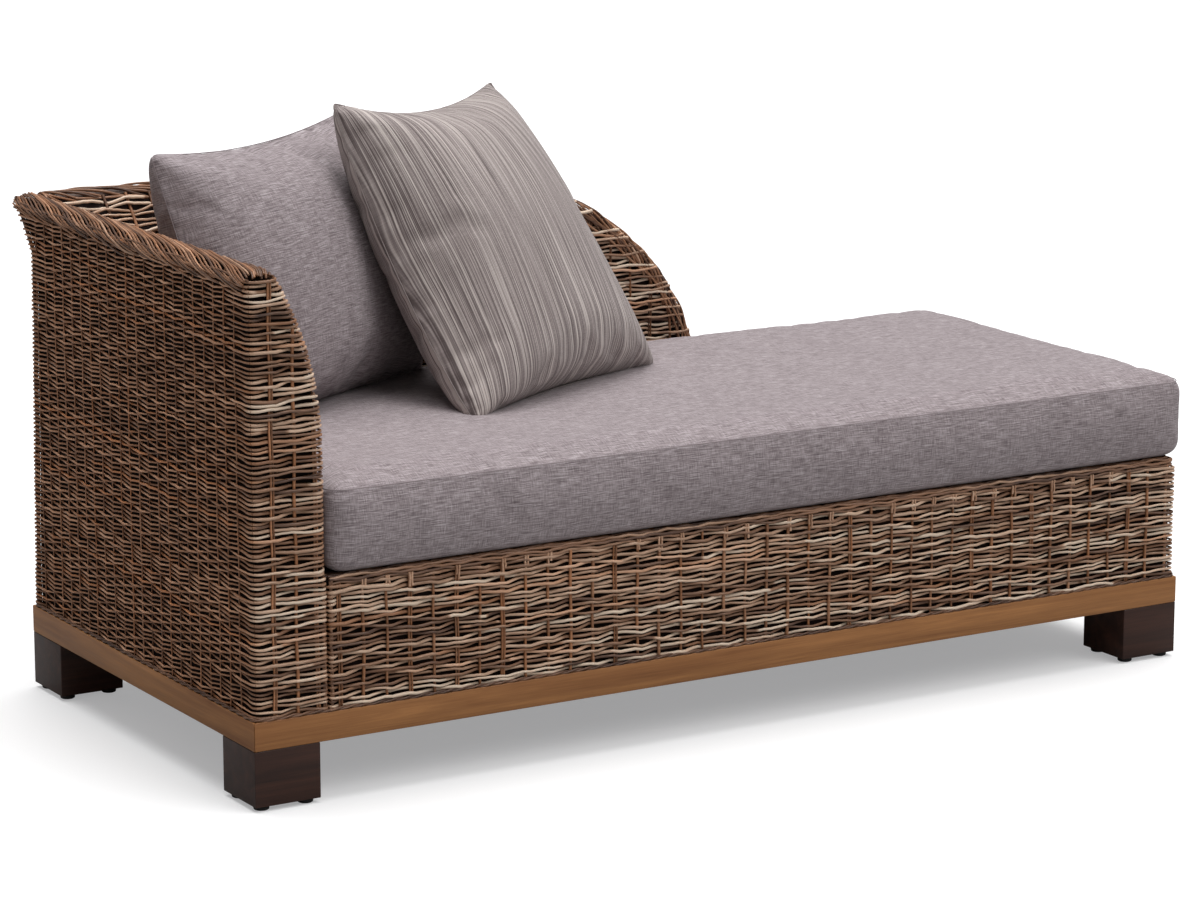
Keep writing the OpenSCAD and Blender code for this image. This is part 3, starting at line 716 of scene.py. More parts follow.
def rod_tree():
    """Geometry nodes that turn middle lines into rods."""
    if "rods along lines" in bpy.data.node_groups:
        return bpy.data.node_groups["rods along lines"]
    tree = bpy.data.node_groups.new("rods along lines", "GeometryNodeTree")
    face = tree.interface
    face.new_socket("Lines", in_out="INPUT", socket_type="NodeSocketGeometry")
    for name, kind in (("Rod radius", "Float"), ("Weave depth", "Float"), ("Wander", "Float"),
                       ("Wander size", "Float"), ("Thickness change", "Float"),
                       ("Sides", "Int"), ("Seed", "Int"), ("Finish", "Material")):
        face.new_socket(name, in_out="INPUT", socket_type="NodeSocket" + kind)
    face.new_socket("Rods", in_out="OUTPUT", socket_type="NodeSocketGeometry")
    g = Graph(tree)
    into = tree.nodes.new("NodeGroupInput")
    given = {s.name: Value(g, s) for s in into.outputs if s.name}

    def named(name, kind="FLOAT"):
        return g.node("GeometryNodeInputNamedAttribute", {"data_type": kind}, {"Name": name})

    def vector(operation, a, b, key=1):
        return g.node("ShaderNodeVectorMath", {"operation": operation}, {0: a, key: b})

    place = g.node("GeometryNodeInputPosition")
    stray = g.node("ShaderNodeTexNoise", {"noise_dimensions": "4D"}, {
        "Vector": place, "W": given["Seed"] * 1.37, "Scale": 1.0 / given["Wander size"],
        "Detail": 1.0}, out="Color")
    stray = vector("SCALE", vector("SUBTRACT", stray, (0.5, 0.5, 0.5)), given["Wander"] * 4.0,
                   "Scale")
    woven = vector("SCALE", named("out", "FLOAT_VECTOR"), named("lift") * given["Weave depth"],
                   "Scale")
    lines = g.node("GeometryNodeSetPosition", None, {
        "Geometry": given["Lines"], "Offset": vector("ADD", stray, woven)})
    thick = g.node("ShaderNodeTexNoise", {"noise_dimensions": "4D"}, {
        "Vector": place, "W": given["Seed"] * 2.71, "Scale": 36.0, "Detail": 0.0})
    thick = 1.0 + (thick - 0.5) * 2.0 * given["Thickness change"]
    ring = g.node("GeometryNodeCurvePrimitiveCircle", None, {
        "Resolution": given["Sides"], "Radius": given["Rod radius"]})
    rods = g.node("GeometryNodeCurveToMesh", None, {
        "Curve": g.node("GeometryNodeMeshToCurve", None, {"Mesh": lines}),
        "Profile Curve": ring, "Scale": named("girth") * thick, "Fill Caps": True})
    for name in ("out", "lift", "girth"):
        rods = g.node("GeometryNodeRemoveAttribute", None, {"Geometry": rods, "Name": name})
    rods = g.node("GeometryNodeSetShadeSmooth", None, {"Geometry": rods})
    rods = g.node("GeometryNodeRealizeInstances", None, {"Geometry": rods})
    rods = g.node("GeometryNodeSetMaterial", None, {
        "Geometry": rods, "Material": given["Finish"]})
    g.node("NodeGroupOutput", None, {"Rods": rods})
    return tree


def grow(lines, name, material, radius, depth=0.0, wander=None, change=0.12, sides=None,
         smooth=0.035):
    """Runs the rod tree on gathered lines and returns one plain mesh object."""
    w = settings("weave")
    guide = lines.guide(name + "_lines")
    tree = rod_tree()
    modifier = guide.modifiers.new("rods", "NODES")
    modifier.node_group = tree
    values = {"Rod radius": radius, "Weave depth": depth,
              "Wander": w.wander if wander is None else wander, "Wander size": smooth,
              "Thickness change": change, "Sides": w.sides if sides is None else sides,
              "Seed": w.seed, "Finish": material}
    for item in tree.interface.items_tree:
        if item.in_out == "INPUT" and item.name in values:
            modifier[item.identifier] = values[item.name]
    bpy.context.view_layer.update()
    ready = guide.evaluated_get(bpy.context.evaluated_depsgraph_get())
    mesh = bpy.data.meshes.new_from_object(ready)
    mesh.name = name
    made = linked(name, mesh)
    guide.modifiers.remove(modifier)
    bpy.data.objects.remove(guide)
    return made


# Rows of weavers

def spot(x, y, dx=0, dy=0, stake=0, radius=0):
    """A point of a row's path: its place, how that place moves with height, whether a stake
    stands there, and the radius that rounds it where it is a corner."""
    return x, y, dx, dy, stake, radius


def distances(points):
    """How far along a line each of its points lies."""
    steps = np.linalg.norm(np.diff(points, axis=0), axis=1)
    return np.concatenate([[0], np.cumsum(steps)])


def rounded(path):
    """A path of spots with its corners rounded: places, slopes and marks."""
    made = []
    for i, p in enumerate(path):
        radius = p[5]
        if radius <= 0 or i in (0, len(path) - 1):
            made.append(p[:5])
            continue
        corner = np.array(p[:2])
        u, v = np.array(path[i - 1][:2]) - corner, np.array(path[i + 1][:2]) - corner
        before, after = np.linalg.norm(u), np.linalg.norm(v)
        u, v = u / before, v / after
        half = math.acos(max(-1, min(1, float(u @ v)))) / 2
        cut = min(radius / math.tan(half), before * 0.9, after * 0.9)
        fit = cut * math.tan(half)
        centre = corner + (u + v) / np.linalg.norm(u + v) * fit / math.sin(half)
        start, end = corner + u * cut - centre, corner + v * cut - centre
        turn = math.acos(max(-1, min(1, float(start @ end) / (fit * fit))))
        side = np.sign(start[0] * end[1] - start[1] * end[0])
        for k in range(ARC + 1):
            t = side * turn * k / ARC
            q = centre + np.array([start[0] * math.cos(t) - start[1] * math.sin(t),
                                   start[0] * math.sin(t) + start[1] * math.cos(t)])
            made.append((q[0], q[1], p[2], p[3], CORNER if k == ARC // 2 else 0))
    return made


def walk(path, step):
    """Points of a rounded path about a step apart: place and slope, distance, the points at a
    stake, and which of those are corners."""
    spots = rounded(path)
    out, marks = [spots[0][:4]], [spots[0][4]]
    for a, b in zip(spots[:-1], spots[1:]):
        gap = math.dist(a[:2], b[:2])
        if gap < 1e-6:
            continue
        n = max(1, round(gap / step))
        for k in range(1, n + 1):
            out.append([a[j] + (b[j] - a[j]) * k / n for j in range(4)])
            marks.append(b[4] if k == n else 0)
    out, marks = np.array(out), np.array(marks)
    at = np.flatnonzero(marks)
    return out, distances(out[:, :2]), at, marks[at] == CORNER


def outward(out):
    """Unit normals that point out of the woven body along a walked path."""
    tangent = np.gradient(out[:, :2], axis=0)
    tangent /= np.maximum(np.linalg.norm(tangent, axis=1, keepdims=True), 1e-9)
    n = np.stack([-tangent[:, 1], tangent[:, 0]], 1)
    lean = -(n * out[:, 2:4]).sum(1)
    n = np.column_stack([n, lean])
    return n / np.linalg.norm(n, axis=1, keepdims=True)


class Rows:
    """What the rows of one stretch of weave share: how they stray, shade and cross."""

    def __init__(self, rods, count, weave, bay, pair):
        r = self.random = rods.random
        self.weave, self.bay, self.pair = weave, bay, pair
        self.lengths, self.share = np.array(WAVES).T
        self.beat = np.repeat(r.uniform(0, 6.28, count // 2 + 2), 2)
        self.phase = np.column_stack([
            r.normal(0, 0.12, count + 1).cumsum() + r.uniform(0, 6.28),
            r.normal(0, 0.5, count + 1).cumsum() + r.uniform(0, 6.28),
            r.uniform(0, 6.28, count + 1), r.uniform(0, 6.28, count + 1)])
        self.tone = np.clip(r.normal(0.5, 0.07, count + 1), 0.2, 0.8)
        self.crossings = {}
        for row in range(count):
            for _ in range(r.poisson(0.35)):
                at = r.uniform(0.05, 3.6)
                self.crossings.setdefault(row, []).append((at, 1))
                self.crossings.setdefault(row + 1, []).append((at, -1))

    def shape(self, row, s, stations, over):
        """Height and lift along one row, its thickness and its tones."""
        r, w = self.random, self.weave
        rise = (self.share * np.sin(2 * np.pi * s[:, None] / self.lengths
                                    + self.phase[row])).sum(1) * w.wave
        rise += (-1) ** row * self.pair * np.sin(np.pi * s / self.bay + self.beat[row])
        lift = np.interp(s, s[stations], over) if len(stations) else np.zeros(len(s))
        lift = np.sin(lift * np.pi / 2)
        for at, way in self.crossings.get(row, ()):
            bump = np.exp(-((s - at) / CROSSING) ** 2)
            rise = rise + way * w.pitch * 0.6 * bump
            lift = lift * (1 - bump) + bump * (0.9 if way > 0 else -0.5)
        girth = r.uniform(0.86, 1.18) + 0.08 * np.sin(s * r.uniform(6, 14) + r.uniform(0, 6))
        breaks = np.sort(r.uniform(0, max(s[-1], 0.1), max(1, int(s[-1] / JOINT))))
        pick = np.searchsorted(breaks, s)
        steps = np.clip(self.tone[row] + r.normal(0, 0.28, len(breaks) + 1), 0.05, 0.95)
        pale = r.random(len(breaks) + 1) < PALE
        tone = np.where(pale, 0.98, steps)[pick] + 0.05 * np.sin(s * 31 + row)
        warm = (r.random(len(breaks) + 1) < WARM)[pick] * 0.5
        return rise, lift, girth, tone, warm

    def overs(self, row, walked):
        """Whether the row passes before or behind each stake, mostly by turns."""
        out, _, at, corners = walked
        front = np.maximum(0, -outward(out)[at, 1])
        skips = (self.random.random(len(at)) < self.weave.skip * (0.1 + 0.9 * front)).cumsum()
        over = np.where((np.arange(len(at)) + row + skips) % 2 == 0, 1.0, -1.0)
        return np.where(corners, 0.8, over)


def stations(low, high, bay):
    """Evenly spaced stakes between two places."""
    n = max(1, round(abs(high - low) / bay))
    return [low + (high - low) * (k + 0.5) / n for k in range(n)]


def between(places, low, high):
    """The places that lie between two others."""
    return [p for p in places if low < p < high]


def outer_path(z, inset, weave):
    """The row that runs round the outside at height z: the arm's inner face and front, its
    outside, the rear and, below the deck, the foot end and the front."""
    body = settings("body")
    arm, arm_slope = arm_face(z)
    rear, rear_slope = rear_face(z)
    head, foot, front = HEAD_X + inset, FOOT_X - inset, FRONT_Y + inset
    seam = body.seam + inset * 0.4
    arm_stops = stations(FRONT_Y, body.crease_y, weave.arm_bay)
    back_stops = stations(HEAD_X, BACK_END_X, weave.bay)
    if z > DECK_Z:
        inner = arm - inset
        path = [spot(inner, BACK_Y + DIVE, arm_slope)]
        path += [spot(inner, y, arm_slope, 0, STAKE)
                 for y in between(reversed(arm_stops), front + CLEAR, BACK_Y - DIVE)]
        path.append(spot(inner, front, arm_slope, radius=weave.corner))
    else:
        inner = ARM_X - seam
        path = [spot(inner, front + SEAM_DEPTH),
                spot(inner, front, radius=SEAM_CORNER)]
    path += [spot(x, front, arm_slope * (x - head) / (inner - head), 0, STAKE)
             for x in between([HEAD_X + d for d in reversed(ARM_END_STAKES)], head,
                              inner - ARM_CLEAR)]
    path.append(spot(head, front, radius=weave.corner))
    reach = rear - inset - front
    path += [spot(head, y, 0, rear_slope * (y - front) / reach, STAKE)
             for y in between(arm_stops, front + CLEAR, rear - CLEAR)]
    rear -= inset
    path.append(spot(head - body.post, rear + body.post, 0, rear_slope,
                     radius=REAR_CORNER))
    if z > DECK_Z:
        end = back_end(z)[0]
        path += [spot(x, rear, 0, rear_slope, STAKE)
                 for x in between(back_stops, head + CLEAR, end - END_CLEAR)]
        path.append(spot(end - END_INSET, rear, 0, rear_slope))
        return path
    path += [spot(x, rear, 0, rear_slope, STAKE)
             for x in between(back_stops, head + CLEAR, BACK_END_X)]
    path.append(spot(BACK_END_X, rear, 0, rear_slope))
    path += [spot(x, rear, 0, rear_slope, STAKE)
             for x in between(stations(BACK_END_X, FOOT_X, weave.bay), head, foot - CLEAR)]
    path.append(spot(foot, rear, 0, rear_slope, radius=FOOT_CORNER))
    path += [spot(foot, y, stake=STAKE)
             for y in between(reversed(stations(FRONT_Y, REAR_Y, weave.bay)), front + CLEAR,
                              rear - CLEAR)]
    path.append(spot(foot, front, radius=FOOT_CORNER))
    path += [spot(x, front, stake=STAKE)
             for x in between(reversed(stations(ARM_X, FOOT_X, weave.bay)),
                              ARM_X + seam + END_CLEAR, foot - CLEAR)]
    path += [spot(ARM_X + seam, front, radius=SEAM_CORNER),
             spot(ARM_X + seam, front + SEAM_DEPTH)]
    return path


def inner_path(z, inset, weave):
    """The row that runs along the back's face towards the seat at height z. At its end it dives
    under the border."""
    face, slope = seat_face(z)
    end, arm, y = back_end(z)[0], arm_face(z)[0], face + inset
    path = [spot(end - END_INSET, y + weave.tuck, 0, slope),
            spot(end - CLEAR, y + weave.tuck, 0, slope)]
    path += [spot(x, y, 0, slope, STAKE)
             for x in between(reversed(stations(HEAD_X, BACK_END_X, weave.bay)),
                              arm + END_CLEAR, end - TUCK_RUN)]
    path.append(spot(arm - DIVE, y, 0, slope))
    return path


def drawn_in(z):
    """How far a row or a stake stands back near the wall's rounded top."""
    d = WALL_Z - z
    if d >= ROUND_OFF:
        return 0.0
    return ROUND_OFF - math.sqrt(max(0.0, ROUND_OFF ** 2 - (ROUND_OFF - d) ** 2))


def place_row(rows, row, z, walked, parts):
    """Adds one walked row; each part gives its first and last point and the rods it joins."""
    out, s, at, corners = walked
    rise, lift, girth, tone, warm = rows.shape(row, s, at, rows.overs(row, walked))
    normal = outward(out)
    w, front = rows.weave, np.maximum(0, -normal[:, 1])
    turn = 2 * np.pi * np.interp(s, s[at], np.arange(len(at)))
    saw = (0.64 * np.sin(turn) + 0.32 * np.sin(2 * turn)) * (np.interp(s, s[at], corners) == 0)
    rise = rise * (w.calm + (1 - w.calm) * front) \
        + saw * (w.slant * (1 - front) + w.front_slant * front)
    lift *= 0.65 + 0.35 * front
    girth *= w.slender + (1 - w.slender) * front
    # Painted light: rows that face the front are painted a little paler and less warm than those on
    # the other faces, standing for the stronger light on the front; the random tone and warmth under
    # it are the weavers' own
    tone = 0.5 + (tone - 0.5) * (0.6 + 0.4 * front) + 0.12 + 0.04 * front
    warm = np.minimum(1.0, warm + 0.6 * (1 - front))
    points = np.column_stack([out[:, :2] + out[:, 2:4] * rise[:, None], z + rise])
    for a, b, rods in parts:
        rods.add(points[a:b + 1], normal[a:b + 1], lift[a:b + 1], girth[a:b + 1],
                 tone[a:b + 1], warm[a:b + 1])


def nearest(out, x, y):
    """The point of a walked path that is nearest to a place."""
    return int(np.argmin((out[:, 0] - x) ** 2 + (out[:, 1] - y) ** 2))


def woven_rows(weave):
    """Every row of weavers, sorted into the arm's faces, the back's two faces and the base."""
    arm, back, seat_side, base, arm_side = (Rods(weave.seed + k) for k in range(5))
    low, high = PLINTH_TOP + weave.rod * 2.6, WALL_Z - weave.rod * 2.0
    count = int((high - low) / weave.pitch)
    rows = Rows(arm, count, weave, weave.bay, weave.pair)
    for row in range(count):
        z = low + row * weave.pitch
        walked = walk(outer_path(z, weave.inset + drawn_in(z), weave), weave.step)
        out = walked[0]
        first, turn = nearest(out, HEAD_X, FRONT_Y), nearest(out, HEAD_X, rear_face(z)[0])
        last = len(out) - 1
        parts = [(0, first, arm_side), (first, turn, arm)]
        if z > DECK_Z:
            parts.append((turn, last, back))
        else:
            cut = nearest(out, BACK_END_X, rear_face(z)[0])
            parts.append((turn, cut, back))
            if z < DECK_Z - DECK_CLEAR:
                parts.append((cut, last, base))
        place_row(rows, row, z, walked, parts)
    low = DECK_Z + weave.rod
    count = int((high - low) / weave.open_pitch)
    rows = Rows(seat_side, count, weave, weave.bay, weave.open_pair)
    rows.tone += PALER
    for row in range(count):
        z = low + row * weave.open_pitch
        under = weave.tuck * min(1.0, max(0.0, (z - WALL_Z + TUCK_FROM) / TUCK_RAMP))
        inset = weave.inset + under + drawn_in(z)
        walked = walk(inner_path(z, inset, weave), weave.step)
        place_row(rows, row, z, walked, [(0, len(walked[0]) - 1, seat_side)])
    return arm, arm_side, back, seat_side, base


def woven_stakes(weave):
    """The upright stakes of every panel."""
    rods = Rods(weave.seed + 20)
    r = rods.random
    inset = weave.inset
    low, top, deck = PLINTH_TOP + 0.002, WALL_Z - 0.004, DECK_Z - 0.01

    def upright(place, low, high, tone=0.5, girth=1.0):
        """A stake, or two thin ones side by side, at the places given for its heights."""
        z = np.linspace(low, high, max(2, int((high - low) / STAKE_STEP)))
        twin = r.random() < TWINS * (girth >= 1)
        sway = SWAY * np.sin(z * r.uniform(20, 45) + r.uniform(0, 6))
        for side in ((-1, 1) if twin else (0,)):
            shift = side * TWIN_GAP + sway
            points = np.array([place(h, d) for h, d in zip(z, shift)])
            rods.add(points, girth=(0.7 if twin else girth) * r.uniform(0.85, 1.15),
                     tone=np.clip(r.normal(tone, 0.12), 0.05, 0.9)
                     + 0.1 * np.sin(z * 40 + r.uniform(0, 6)), warm=r.uniform(0.55, 1.0))

    for y in stations(FRONT_Y, settings("body").crease_y, weave.arm_bay):
        if y > FRONT_Y + STAKE_CLEAR:
            upright(lambda z, d: (HEAD_X + inset - 0.001 + drawn_in(z), y + d, z), low, top,
                    tone=0.42, girth=0.52)
        if FRONT_Y + STAKE_CLEAR < y < BACK_Y - DIVE:
            upright(lambda z, d: (arm_face(z)[0] - inset - drawn_in(z), y + d, z), deck, top)
    for k in (1, 2, 3):
        post = inset + 0.0012 * k * k
        upright(lambda z, d: (HEAD_X + post + d, rear_face(z)[0] - post, z), low, top,
                tone=0.12, girth=1.3)
    for x in [HEAD_X + d for d in ARM_END_STAKES]:
        high = top
        while arm_face(high)[0] - 0.016 < x and high > low:
            high -= 0.004
        upright(lambda z, d: (x + d, FRONT_Y + inset + drawn_in(z), z), low, high)
    for x in stations(HEAD_X, BACK_END_X, weave.bay):
        high = back_height(x) - 0.006
        if x > HEAD_X + CLEAR:
            upright(lambda z, d: (x + d, rear_face(z)[0] - inset, z), low, high)
        if x > ARM_X + END_CLEAR:
            upright(lambda z, d: (x + d, seat_face(z)[0] + inset + 0.0025, z), deck, high,
                    tone=0.2)
    for x in stations(BACK_END_X, FOOT_X, weave.bay):
        upright(lambda z, d: (x + d, rear_face(z)[0] - inset, z), low, deck)
    for y in stations(FRONT_Y, REAR_Y, weave.bay):
        if y < REAR_Y - STAKE_CLEAR:
            upright(lambda z, d: (FOOT_X - inset, y + d, z), low, deck)
    for x in stations(ARM_X, FOOT_X, weave.bay):
        if x < FOOT_X - STAKE_CLEAR:
            upright(lambda z, d: (x + d, FRONT_Y + inset, z), low, deck)
    return rods


# Borders

def even(points, step):
    """The same line with points a step apart."""
    p = np.asarray(points, float)
    s = distances(p)
    t = np.linspace(0, s[-1], max(2, int(s[-1] / step) + 1))
    return np.column_stack([np.interp(t, s, p[:, j]) for j in range(3)]), t


def softened(points, step=0.009, times=4):
    """An even line through a few points, with its corners eased."""
    p = even(points, step)[0]
    for _ in range(times):
        p[1:-1] = (p[:-2] + 2 * p[1:-1] + p[2:]) / 4
    return p


def twisted(rods, line, radius, turn_length, tone, girth, phase=0.0, strands=2):
    """Strands that wind round a line."""
    line, t = even(line, 0.007)
    along = np.gradient(line, axis=0)
    along /= np.linalg.norm(along, axis=1, keepdims=True)
    side = np.cross(along, [0, 0, 1.0])
    flat = np.linalg.norm(side, axis=1) < 0.3
    side[flat] = np.cross(along[flat], [0, 1.0, 0])
    side /= np.linalg.norm(side, axis=1, keepdims=True)
    up = np.cross(side, along)
    for k in range(strands):
        a = 2 * np.pi * (t / turn_length + k / strands) + phase
        points = line + radius * (side * np.cos(a)[:, None] + up * np.sin(a)[:, None])
        rods.add(points, tone=np.clip(rods.random.normal(tone, 0.1), 0.05, 0.9)
                 + 0.08 * np.sin(t * 17), girth=girth, warm=rods.random.uniform(0, 0.4))


def over_the_end(points):
    """Bends what runs past the arm's near end down over its rounded edge, and cuts it there."""
    edge, r = FRONT_Y + 0.014, 0.012
    made = points.copy()
    past = edge - points[:, 1]
    bent = past > 0
    a = np.minimum(past[bent] / r, np.pi / 2)
    made[bent, 1] = edge - r * np.sin(a)
    made[bent, 2] -= r * (1 - np.cos(a))
    return made[past < r * np.pi / 2 + 0.001]


def arm_border(weave):
    """Stakes laid down slantwise over the arm's top, from its inner edge to its outer edge."""
    rods = Rods(weave.seed + 30)
    r = rods.random
    x_in, x_out, top = arm_face(WALL_Z)[0], HEAD_X, WALL_Z
    middle, low = (x_in + x_out) / 2, arm_face(top - 0.040)[0]
    slant, rounding = 0.218, 0.019
    y = REAR_TOP_Y + 0.215
    while y > FRONT_Y - 0.030:
        j = r.normal(0, 0.0014, 8)
        # up the inner face and round its edge, across the top, then round the outer edge
        line = [
            (low - 0.010, y + 0.052, top - 0.045),
            (low + 0.0015, y + 0.036, top - 0.034),
            (x_in + 0.0045, y + 0.016, top - 0.013 + j[0] * 0.4),
            (x_in - 0.002, y, top - 0.0035 + j[1] * 0.4),
            (x_in - 0.010, y - 0.022, top - 0.0005 + j[2] * 0.6),
            (middle, y - 0.088 + j[3], top + 0.0002 + j[3] * 0.6),
            (x_out + 0.012, y - 0.154 + j[4], top - 0.0030 + j[4] * 0.6),
            (x_out + 0.0030, y - 0.186 + j[5], top - 0.0105),
            (x_out - 0.0008, y - slant + j[6], top - rounding + j[6]),
        ]
        # most run on down the outer face, some farther than others, and end behind the rows
        reach = r.choice((0.0, 0.6, 1.2, 2.0), p=(0.3, 0.3, 0.25, 0.15))
        x, y0, z0 = x_out - 0.0004, y - slant - 0.050 * reach, top - rounding - 0.009 * reach
        if reach > 0:
            line.append((x, y0, z0 + j[7]))
        line.append((x + 0.009, y0 - 0.030, z0 - 0.004))
        line = softened(line)
        line = line[line[:, 1] < REAR_TOP_Y - 0.004]
        beside = (line[:, 2] < top - 0.007) & (line[:, 1] < FRONT_Y + 0.008)
        line = over_the_end(line[~beside])
        if len(line) > 2:
            rods.add(line, girth=r.uniform(0.6, 0.8),
                     tone=np.clip(r.normal(0.37, 0.18), 0.03, 0.9), warm=r.uniform(0.2, 0.8))
        y -= weave.arm_spacing + r.normal(0, 0.0024)
    # one rod along each edge, under the slanting ones
    t = np.linspace(0, 1, 60)
    y = REAR_TOP_Y - 0.006 + (FRONT_Y + 0.010 - REAR_TOP_Y) * t
    for k, (x, z) in enumerate(((x_out + 0.0035, top - 0.0125), (x_in + 0.001, top - 0.012))):
        line = np.column_stack([np.full(60, x), y, z + 0.0015 * np.sin(t * 37 + k * 2)])
        rods.add(line, girth=0.8, tone=0.2, warm=0.4)
    return rods


def rim_line():
    """Distances along the back's top edge, with its points and outward directions."""
    b = settings("body")
    edge = [(x, WALL_Z) for x in np.linspace(arm_face(WALL_Z)[0], b.level_x, 30)]
    reach, rise = BACK_END_X - b.level_x, WALL_Z - b.round_z
    edge += [(b.level_x + reach * math.sin(a), b.round_z + rise * math.cos(a))
             for a in np.linspace(0, math.pi / 2, 60)[1:]]
    edge += [(BACK_END_X, z) for z in np.linspace(b.round_z, DECK_Z + 0.002, 8)[1:]]
    p = np.array(edge)
    t = np.gradient(p, axis=0)
    t /= np.linalg.norm(t, axis=1, keepdims=True)
    return distances(p), p, np.column_stack([-t[:, 1], t[:, 0]])


def back_border(weave):
    """Stakes laid slantwise over the back's top edge, and rods that follow the edge."""
    rods = Rods(weave.seed + 40)
    r = rods.random
    s, p, n = rim_line()

    def at(d, across, out):
        """The place at a distance along the edge, from its front, 0, to its rear, 1."""
        d = min(max(d, 0.0), s[-1])
        x, z = (np.interp(d, s, p[:, j]) for j in (0, 1))
        nx, nz = (np.interp(d, s, n[:, j]) for j in (0, 1))
        y0, y1 = seat_face(z)[0], rear_face(z)[0]
        return x + nx * out, y0 + (y1 - y0) * across, z + nz * out

    d = -0.08
    while d < s[-1] + 0.12:
        j = r.normal(0, 0.0018, 8)
        slant = 0.115 + r.normal(0, 0.008)
        # up the face towards the seat, over the top and down the rear face
        line = softened([
            at(d + 0.085, 0.10, -0.030), at(d + 0.068, 0.034, -0.0245 + j[0]),
            at(d + 0.038, 0.030, -0.0165 + j[0]), at(d + 0.008, 0.034, -0.008 + j[1]),
            at(d - 0.020, 0.14, 0.0005 + j[2]), at(d - slant * 0.6, 0.5, 0.0020 + j[3]),
            at(d - slant * 0.95, 0.86, -0.0005 + j[4]), at(d - slant * 1.2, 1.0, -0.010 + j[5]),
            at(d - slant * 1.5, 1.03, -0.020 + j[6]), at(d - slant * 1.8, 0.94, -0.030),
        ])
        line = line[(line[:, 2] > DECK_Z + 0.002) & (line[:, 0] > HEAD_X + 0.004)]
        if len(line) > 2:
            rods.add(line, girth=r.uniform(0.7, 0.95),
                     tone=np.clip(r.normal(0.34, 0.18), 0.03, 0.95), warm=r.uniform(0.1, 0.7))
        d += weave.back_spacing + r.normal(0, 0.0028)
    for k, (across, out) in enumerate(EDGE_RODS):
        ds = np.linspace(0.05, s[-1], 170)
        wave = 0.0030 * np.sin(ds * 23 + k * 2.1) + 0.0016 * np.sin(ds * 51 + k)
        near = 0.012 * np.sin(ds * 31 + k * 1.7)
        line = np.array([at(q, across + h, out + w) for q, w, h in zip(ds, wave, near)])
        rods.add(line, girth=0.86 + 0.12 * np.sin(ds * 13 + k),
                 tone=0.36 + 0.22 * np.sin(k * 2.0 + ds * 9), warm=0.3)
    ds = np.linspace(0.03, s[-1] - 0.02, 120)
    for across in FILLING_RODS:
        rods.add(np.array([at(q, across, -0.0085) for q in ds]), girth=1.35, tone=0.06, warm=0.2)
    return rods


def deck_border(weave):
    """Level rods round the deck's top edge and twisted rods along the plinth."""
    rods = Rods(weave.seed + 50)
    r = rods.random
    seam = ARM_X + settings("body").seam

    def loop(out, radius):
        """A line round the deck that lies that far behind the outer face."""
        rear = rear_face(DECK_Z)[0]
        path = [spot(BACK_END_X + 0.004, rear - out),
                spot(FOOT_X - out, rear - out, radius=radius),
                spot(FOOT_X - out, FRONT_Y + out, radius=radius),
                spot(seam + 0.002, FRONT_Y + out)]
        return walk(path, 0.0095)[:2]

    for k, (out, down) in enumerate(DECK_RODS):
        walked, s = loop(out, max(0.004, 0.018 - out))
        phase = r.uniform(0, 6.28, 3)
        wave = 0.0012 * np.sin(s * 76 + phase[0]) + 0.0008 * np.sin(s * 170 + phase[1])
        swap = 0.4 * np.sin(s * 57 + phase[2] + (k % 2) * np.pi)
        line = np.column_stack([walked[:, :2], DECK_Z - down + wave])
        rods.add(line, outward(walked), swap, r.uniform(0.9, 1.12),
                 np.clip(r.normal(0.38, 0.12), 0.1, 0.7) + 0.16 * np.sin(s * 9 + phase[0]),
                 r.uniform(0, 0.4))
    # ends of stakes that show over the outermost rods
    for x in stations(ARM_X, FOOT_X, weave.bay):
        if r.random() < 0.6 and x < FOOT_X - 0.03:
            for side in (-0.0024, 0.0024):
                zs = np.linspace(DECK_Z - r.uniform(0.022, 0.034), DECK_Z - 0.0085, 4)
                line = np.column_stack([x + side + r.normal(0, 0.0006, 4),
                                        np.full(4, FRONT_Y - 0.0002), zs])
                rods.add(line, girth=r.uniform(0.6, 0.8), tone=r.uniform(0.6, 0.9), warm=0.3)
    # twisted rods round the foot of the weave, and up both sides of the seam
    z = PLINTH_TOP + 0.0026
    rear = rear_face(z)[0]
    line = [(ARM_X, FRONT_Y), (HEAD_X, FRONT_Y), (HEAD_X, rear), (FOOT_X, rear),
            (FOOT_X, FRONT_Y), (ARM_X, FRONT_Y)]
    walked, s = walk([spot(x, y, radius=FOOT_CORNER) for x, y in line], 0.006)[:2]
    twisted(rods, np.column_stack([walked[:, :2], np.full(len(s), z)]), 0.0016, 0.05,
            tone=0.22, girth=0.75)
    for x, phase in ((ARM_X - 0.006, 0), (ARM_X + 0.0065, 1.5)):
        zs = np.linspace(PLINTH_TOP + 0.004, DECK_Z - 0.006, 40)
        twisted(rods, np.column_stack([np.full(40, x), np.full(40, FRONT_Y + 0.0035), zs]),
                0.0014, 0.06, tone=0.3, girth=0.85, phase=phase)
    return rods


# Dark lining behind the weave: painted shade for the shade inside the woven body

def grid_mesh(name, grids, material):
    """One mesh from grids of points."""
    verts, faces = [], []
    for grid in grids:
        grid = np.asarray(grid)
        rows, cols = grid.shape[:2]
        base = len(verts)
        verts += list(grid.reshape(-1, 3))
        faces += [(base + i * cols + j, base + i * cols + j + 1, base + (i + 1) * cols + j + 1,
                   base + (i + 1) * cols + j) for i in range(rows - 1) for j in range(cols - 1)]
    return meshed(name, verts, faces, material)


def ring_at(z, *corners):
    """A level line through corners, all rounded but the first and the last."""
    return [(p[0], p[1], z) for p in rounded([spot(x, y, radius=0.003) for x, y in corners])]


